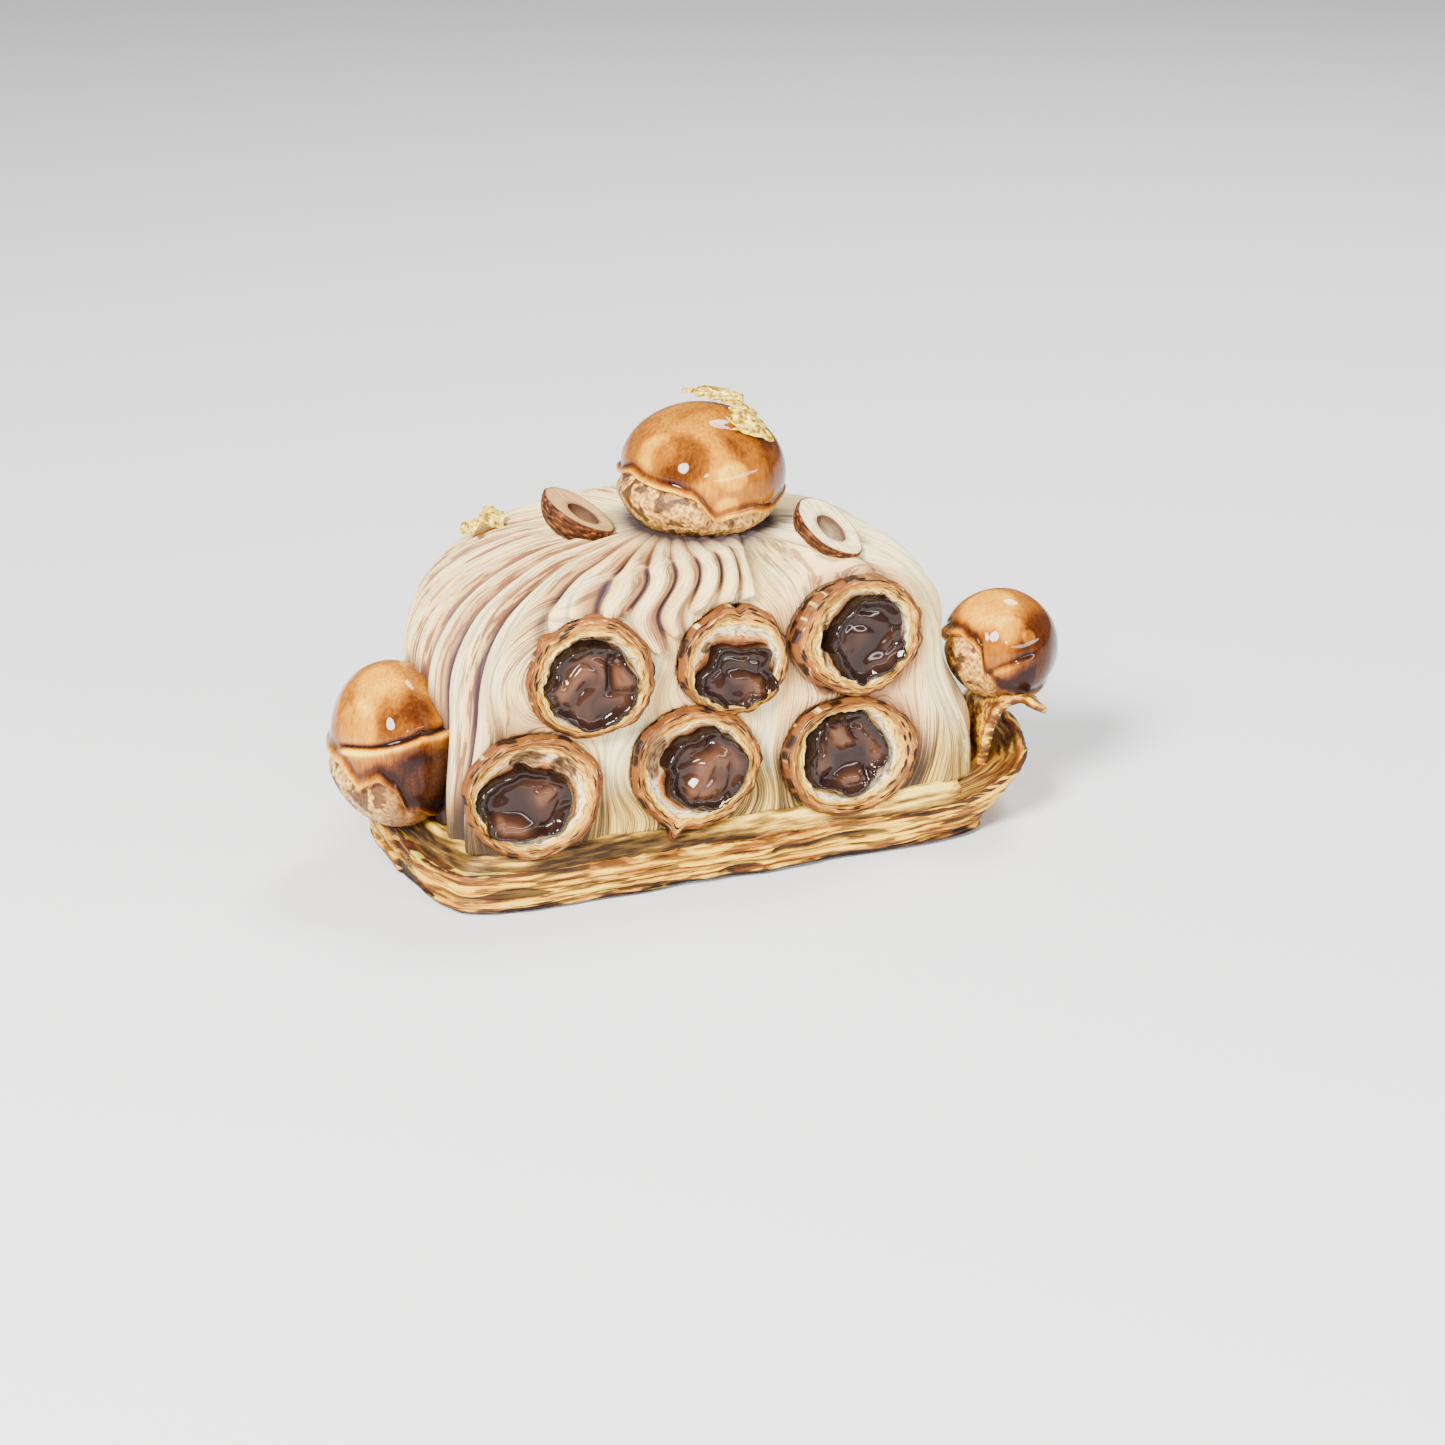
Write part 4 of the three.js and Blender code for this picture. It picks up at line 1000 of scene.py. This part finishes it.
def crumb_rings(rings, outer, inner, under, middle, seed, angle):
    """The cut face of crust and crumb, then the slope down to the praline and under it."""
    for t in np.linspace(0.0, 1, 30):
        swell = ring_noise(angle, 4, t * 5 + seed, 56)
        lines = np.sin(2 * math.pi * (3.2 * t + 0.5 * ring_noise(angle, 2, t * 3, 57)))
        height = np.interp(t, [0, 0.22, 0.5, 0.7, 0.92, 1], [1.5, 1.8, 1.25, 0.6, 0.55, 0.3])
        rough = 0.30 * swell + 0.14 * lines + 0.12 * ring_noise(angle, 14, t * 12, 58)
        rings.add(raised(outer * 0.965 * (1 - t) + inner * t, height + rough), ring=0.08 + 0.70 * t,
                  crusty=smooth_step(0.80, 0.50, t), deep=5 * t)
    for t in np.linspace(0.06, 1, 18):
        ragged = 0.35 * ring_noise(angle, 7, t * 4 + seed, 59)
        height = 0.2 - 1.1 * smooth_step(0, 0.3, t) - 1.1 * t + ragged * (1 - t)
        slope = raised(inner * (1 - t) + under * t, height)
        # ring runs on into the darker stops: painted shade down the slope to the praline
        rings.add(slope, ring=0.80 + 0.2 * t, crusty=0.0, deep=5 + 4 * t)
    for t in (0.3, 0.6, 0.95):
        rings.add(raised(middle + (under - middle) * (1 - t), -2.4 - t), ring=1.0, crusty=0.0, deep=9.0)


def press_pockets(choux, local):
    """Presses the air holes into the crumb, and returns where they are."""
    hole = np.zeros(local.shape[:2])
    for x, y, half_x, half_y, depth in choux["pockets"]:
        away = np.hypot((local[..., 0] - x) / half_x, (local[..., 1] - y) / half_y)
        away = away + 0.12 * noise(local[..., 0] / 2, local[..., 1] / 2, seed=60)
        local[..., 2] -= depth * smooth_step(1.0, 0.55, away) * (local[..., 2] > -2.5)
        hole = np.maximum(hole, smooth_step(1.0, 0.8, away))
    return hole


def halved_choux(name, seed, material):
    """A half ball: its outside, a thick rounded rim of crust, crumb, and the slope down to the praline."""
    choux = HALVED_CHOUX[name]
    angle = turns(288)
    outer = oval(angle, choux["wide"], choux["high"]) * rim_outline(choux, seed, angle)[..., None]
    middle = np.array(choux["fill"][:2])
    under = middle + (fill_outline(choux, seed, angle) - middle) * 0.9
    rings = Rings()
    crust_rings(rings, outer, angle)
    crumb_rings(rings, outer, hollow_outline(choux, seed, angle), under, middle, seed, angle)
    local, values = rings.joined()
    hole = press_pockets(choux, local)
    back, front = np.array([0, 0, -SHELL["depth"]]), np.array([*middle, -3.5])
    form = lofted(in_place(choux, local), in_place(choux, back), in_place(choux, front))
    grain = with_poles(around(8.0, angle, values["deep"] * 3.2 + seed * 50)) * 0.32
    # the air holes get painted shade, less where the crumb is crusty
    values = dict(ring=with_poles(values["ring"]), crusty=with_poles(values["crusty"]),
                  pocket_shade=with_poles(hole * (1 - values["crusty"] * 0.5)), grain=grain)
    add_piece(f"halved_choux_{name}", form, values, material, f"choux_shell_{name}")


def praline_filling(name, seed, material):
    """Soft praline that folds over itself, with a thick uneven edge."""
    choux = HALVED_CHOUX[name]
    angle = turns(220)
    share = np.linspace(0.015, 1, 76)[:, None]
    middle = np.array(choux["fill"][:2])
    flat = middle + (fill_outline(choux, seed, angle) - middle) * share[..., None]
    u, v = flat[..., 0] / 7.5 + 17 * seed, flat[..., 1] / 7.5
    u, v = u + 0.6 * noise(u, v, 1.0, seed=62), v + 0.6 * noise(u, v, 2.0, seed=63)
    lobes = np.sqrt(noise(u, v, 0.5 + seed, seed=64) ** 2 + 0.016)
    middling = np.sqrt(noise(u * 1.9 + 5, v * 1.9, 0.5 + seed, seed=67) ** 2 + 0.012)
    edge = np.sqrt(np.clip(1 - smooth_step(0.84, 1.0, share) ** 2, 0, 1))
    collar = hill(share, 0.85, 0.10) * (0.8 + 0.3 * ring_noise(angle, 5, seed * 2.0, 66))
    top = -1.0 + 4.2 * lobes + 0.8 * middling + 1.2 * collar - 0.3 * hill(share, 0.66, 0.08)
    z = top * edge - 3.5 * (1 - edge)
    # painted shade in the creases between lobes and toward the sunken edge, lighter on the lobes and raised
    # collar
    tone = 0.05 + (1.35 * lobes + 0.5 * middling) * smooth_step(0.9, 0.62, share) + 0.2 * collar
    first, last = np.array([*middle, z[0].mean()]), np.array([*middle, -7.5])
    form = lofted(in_place(choux, raised(flat, z)), in_place(choux, first), in_place(choux, last))
    values = dict(tone=np.clip(with_poles(tone), 0, 1))
    add_piece(f"praline_fill_{name}", form, values, material, f"praline_{name}")


# Whole choux and their caramel
def coat_edge(choux, azimuth):
    return round_the_circle(azimuth, choux["edge"]) + 0.02 * ripple(azimuth, 9, choux["half"][1])


def choux_point(choux, azimuth, polar, grow, belly=0.0):
    """Points on a whole choux, grown by some millimetres, fuller by belly below its caramel."""
    bump = 1 + 0.022 * ripple(azimuth, 3, choux["half"][2]) * np.sin(polar) ** 2
    edge = coat_edge(choux, azimuth)
    wide = grow + belly * smooth_step(edge - 0.03, edge + 0.3, polar)
    a, b, c = choux["half"]
    size = np.stack([a * bump + wide, b * bump + wide, c * bump + grow], -1)
    return size * direction(azimuth, polar) + choux["at"]


def whole_choux(name, material):
    choux = WHOLE_CHOUX[name]
    azimuth = turns(160) - math.pi
    polar = np.linspace(0.02, math.pi - 0.02, 90)[:, None]
    x, y, z = np.moveaxis(choux_point(choux, azimuth, polar, 0.0) / 5, -1, 0)
    crag = layered(x, y, z, seed=71)
    points = choux_point(choux, azimuth, polar, 0.15 + 0.2 * crag, choux["belly"])
    up = np.array([0, 0, choux["half"][2]])
    baked = np.zeros(crag.shape)
    if choux["fold"]:
        baked = 0.75 * smooth_step(-2.4, -1.9, azimuth + 0.15 * crag) * (azimuth < 0)
    form = lofted(points, choux["at"] + up, choux["at"] - up)
    add_piece(f"bun_{name}", form, dict(baked=with_poles(baked)), material, f"choux_{name}")


def sugar_fold(choux, azimuth, polar):
    """Where the sugar ran over itself: how far the lip stands out, its tone, and the crackle below it."""
    degrees = wrapped(np.degrees(azimuth))
    at, line = np.array(choux["fold"]).T
    along = plateau(degrees, at[0], at[0] + 14, at[-1] - 14, at[-1])
    away = (polar - np.interp(degrees, at, line)) * choux["half"][2]
    grow = choux["lip"] * along * (0.9 * hill(away, 0.9, 0.9) - 0.7 * hill(away, -0.6, 0.7))
    below = smooth_step(1.5, 5.0, away) * along * smooth_step(-150, -100, degrees)
    # a painted highlight on the lip and painted shade in the crease above it
    lines = 0.75 * hill(away, -0.5, 0.5) - 0.45 * hill(away, 0.8, 0.8)
    crackle = smooth_step(2.0, 5.0, away) * along * smooth_step(-140, -105, degrees)
    return grow, choux["lip"] * along * lines + 0.40 * below, crackle


def painted_light_on_sugar(choux, azimuth, polar):
    """Rounds of painted reflection, highlight and shade on the sugar, darker or paler."""
    tone = 0.0
    for at, down, size, strength in choux["painted_light"]:
        angle = np.arccos(np.clip(direction(azimuth, polar) @ direction(math.radians(at), down), -1, 1))
        tone = tone + strength * smooth_step(1.25 * size, 0.75 * size, angle)
    return tone


def sugar_profile(choux, azimuth, share):
    """How far the sugar stands out, its tone and its crackle. share is 0 to 1 down to its edge."""
    edge = coat_edge(choux, azimuth)
    polar = share * edge
    short = (1 - share) * edge * choux["half"][0]
    bead = COAT["bead"] * hill(short, 1.0, 0.8) - 0.25 * hill(short, 2.8, 0.9)
    waver = 0.12 * ring_noise(azimuth, 3, share * 4, 73) * smooth_step(0.2, 0.6, share)
    grow = COAT["thick"] + bead + waver
    tone = 0.34 + 0.10 * share - 0.30 * hill(short, 0.9, 0.8) + 0.30 * hill(short, 2.6, 0.9)
    crackle = 0.0
    if choux["fold"]:
        lip, lip_tone, crackle = sugar_fold(choux, azimuth, polar)
        grow, tone = grow + lip, tone + lip_tone
    # painted reflections, highlights and shade on the sugar
    tone = tone + painted_light_on_sugar(choux, azimuth, polar)
    end = smooth_step(0.7, 0, short)
    return (COAT["gap"] + grow) * (1 - end) + (COAT["gap"] - 0.4) * end, tone, crackle


def caramel_coat(name, material):
    """A clear coat with a bead along its lower edge, and a fold where the sugar ran over itself."""
    choux = WHOLE_CHOUX[name]
    azimuth = turns(260)
    edge = coat_edge(choux, azimuth)
    share = np.concatenate([np.linspace(0.012, 0.9, 76), np.linspace(0.905, 1, 24)])[:, None]
    grow, tone, crackle = sugar_profile(choux, azimuth, share)
    inside, outside = COAT["gap"] - 0.5, COAT["gap"] + COAT["thick"]
    rings = Rings()
    rings.add(choux_point(choux, azimuth, share * edge, grow), tone=tone, crackle=crackle)
    for share in np.linspace(0.97, 0.05, 10):
        rings.add(choux_point(choux, azimuth, share * edge, inside), tone=0.4, crackle=0.0)
    at, half = np.array(choux["at"]), choux["half"][2]
    form, values = rings.closed(at + [0, 0, half + outside], at + [0, 0, half + inside])
    values["grain"] = (form[0] - at) * [1.0, 1.0, 0.15]
    add_piece(f"coat_{name}", form, values, material, f"caramel_{name}")


# Hazelnut halves
def nut_rings(outline):
    """The round skin of a half nut, its rim, the cut face and the cavity in it."""
    rings = Rings()
    for theta in np.radians(np.linspace(5, 88, 24)):
        rings.add(raised(outline * np.sin(theta), -NUT["deep"] * np.cos(theta)), meat=0.0, cavity=0.0)
    for size, height, meat in ((0.995, 0.15, 0.0), (0.97, 0.32, 0.0), (0.94, 0.30, 0.7)):
        rings.add(raised(outline * size, height), meat=meat, cavity=0.0)
    for size in np.linspace(0.90, 0.46, 14):
        rings.add(raised(outline * size, 0.2 - 0.25 * smooth_step(0.9, 0.5, size)), meat=1.0,
                  cavity=0.5 * smooth_step(0.62, 0.46, size))
    for t in np.linspace(0, 1, 12):
        rings.add(raised(outline * (0.44 * (1 - t) ** 0.7 + 0.01), -0.1 - 2.9 * t ** 0.7), meat=1.0,
                  cavity=0.97 - 0.3 * t)
    return rings


def nut_turn(nut):
    """The way a half nut points: its length, across it, and out of its cut face."""
    z = np.array(nut["face"]) / np.linalg.norm(nut["face"])
    y = np.cross(z, nut["length"])
    y /= np.linalg.norm(y)
    return np.stack([np.cross(y, z), y, z])


def hazelnut(name, material):
    nut = HAZELNUTS[name]
    angle, turn = turns(120), nut_turn(nut)
    pointed = 1 + 0.16 * np.maximum(np.cos(angle), 0) ** 6
    rough = 0.02 * ring_noise(angle, 4, 1.0, 81)
    outline = oval(angle, NUT["long"] * pointed, NUT["wide"]) * (1 + rough[..., None])
    local, values = nut_rings(outline).joined()
    inward = smooth_step(0.95, 0.4, np.hypot(local[..., 0] / NUT["long"], local[..., 1] / NUT["wide"]))
    local[..., 0] += nut["off"] * inward * values["meat"]
    first, last = np.array([0, 0, -NUT["deep"]]), np.array([nut["off"], 0, -NUT["hollow"]])
    form = lofted(local @ turn + nut["at"], first @ turn + nut["at"], last @ turn + nut["at"])
    grain = np.concatenate([[[0, 0, 0]], (local * [0.3, 1.0, 1.0]).reshape(-1, 3), [[0, 0, 0]]])
    values = dict(meat=with_poles(values["meat"]), cavity=with_poles(values["cavity"]), grain=grain)
    add_piece(f"nut_{name}", form, values, material, f"hazelnut_{name}")


# Gold leaf
def draped_leaf(material):
    """A torn leaf that hangs over the top choux, crumpled and standing off it at its loose end."""
    u, v = unit_grid(90, 20)
    choux = WHOLE_CHOUX["top"]
    t = (u + 1) / 2
    point, ahead, behind = (catmull_rom(DRAPED_LEAF["spine"], t + step) for step in (0, 0.01, -0.01))
    side = np.cross(ahead - behind, point)
    side /= np.linalg.norm(side, axis=-1, keepdims=True)
    teeth = 0.30 * (np.abs(np.mod(t * DRAPED_LEAF["teeth"] + 0.3 * v, 1) - 0.5) * 4 - 1)
    torn = 1 - 0.5 * smooth_step(0.4, 0, t) + teeth + 0.25 * noise(t * 14, v * 1.5, seed=91)
    flat = point + side * (v * DRAPED_LEAF["half_width"] * torn)[..., None]
    above = COAT["gap"] + COAT["thick"] + DRAPED_LEAF["above"]
    size = np.linalg.norm(flat / (np.array(choux["half"]) * DRAPED_LEAF["rise"] + above), axis=-1)
    crumple = 0.045 * (1 + np.sin(11 * t + 1.6 * v)) / 2 + 0.03 * noise(t * 12, v * 3, seed=92)
    standing = 0.09 * smooth_step(0.7, 0.3, t) * (1 - v) / 2 + 0.03 * np.exp(-t * 9)
    middle = flat * ((DRAPED_LEAF["rise"] + standing + crumple) / size)[..., None] + choux["at"]
    add_piece("leaf_draped", sheet(middle, LEAF_THICK), {}, material, "gold_leaf_draped")


def loose_leaf(material):
    u, v = unit_grid(40, 24)
    star = 1 + 0.3 * ripple(np.arctan2(v, u), 5, 1.3) * np.maximum(np.abs(u), np.abs(v))
    crumple = np.sin(3.1 * u + 0.6) * np.cos(2.4 * v) + 0.6 * u * v + 0.3 * noise(u * 3, v * 3, seed=93)
    turn = Matrix.Identity(3)
    for axis, angle in LOOSE_LEAF["turns"].items():
        turn = turn @ Matrix.Rotation(angle, 3, axis)
    flat = np.stack([u * star, v * star, crumple], -1) * LOOSE_LEAF["half"]
    middle = flat @ np.array(turn).T + LOOSE_LEAF["at"]
    add_piece("leaf_loose", sheet(middle, LEAF_THICK), {}, material, "gold_leaf_loose")


# Making the cake
pastry = pastry_material()
puff_pastry(pastry)
curled_flake(pastry)
creme_layer(creme_material())
whipped_cream(cream_material())
crust, filling, skin, gold = crust_material(), praline_material(), skin_material(), leaf_material()
for seed, name in enumerate(HALVED_CHOUX):
    halved_choux(name, seed, crust)
    praline_filling(name, seed, filling)
for name, choux in WHOLE_CHOUX.items():
    whole_choux(name, skin)
    caramel_coat(name, caramel_material(f"caramel_{name}", choux["dark"]))
for name, nut in HAZELNUTS.items():
    hazelnut(name, nut_material(f"hazelnut_{name}", nut["meat"], nut["cavity"]))
draped_leaf(gold)
loose_leaf(gold)


# Floor, light and camera
def plain_floor():
    half, grey = FLOOR["half"], FLOOR["grey"]
    mesh = bpy.data.meshes.new("floor")
    corners = [(-half, -half, 0), (half, -half, 0), (half, half, 0), (-half, half, 0)]
    mesh.from_pydata(corners, [], [(0, 1, 2, 3)])
    mesh.materials.append(Surface("floor", 0.8).finish((grey, grey, grey, 1.0)))
    floor = add_object("floor", mesh)


def facing(target, place):
    """The turn of a lamp at a place that shines at a target."""
    return (Vector(target) - Vector(place)).to_track_quat("-Z", "Y").to_euler()


def soft_studio():
    world = bpy.data.worlds.new("studio")
    world.use_nodes = True
    background = world.node_tree.nodes["Background"]
    background.inputs["Color"].default_value = (1.0, 1.0, 1.0, 1.0)
    background.inputs["Strength"].default_value = SKY_STRENGTH
    bpy.context.scene.world = world
    for name, lamp in LAMPS.items():
        data = bpy.data.lights.new(name, "AREA")
        data.shape = "ELLIPSE"
        data.size, data.size_y = lamp["size"]
        data.energy = lamp["power"]
        data.color = lamp["colour"]
        light = add_object(name, data)
        light.location = lamp["place"]
        light.rotation_euler = facing(LAMP_TARGET, lamp["place"])


def photo_camera():
    azimuth, elevation = CAMERA["azimuth"], CAMERA["elevation"]
    target = Vector(CAMERA["target"]) * MM
    away = Vector((math.sin(azimuth) * math.cos(elevation), -math.cos(azimuth) * math.cos(elevation),
                   math.sin(elevation)))
    data = bpy.data.cameras.new("camera")
    data.sensor_width = CAMERA["sensor"]
    data.lens = CAMERA["focal_pixels"] / CAMERA["photo_pixels"] * CAMERA["sensor"]
    camera = add_object("camera", data)
    camera.location = target + away * CAMERA["distance"]
    camera.rotation_euler = (-away).to_track_quat("-Z", "Y").to_euler()
    bpy.context.scene.camera = camera


plain_floor()
soft_studio()
photo_camera()
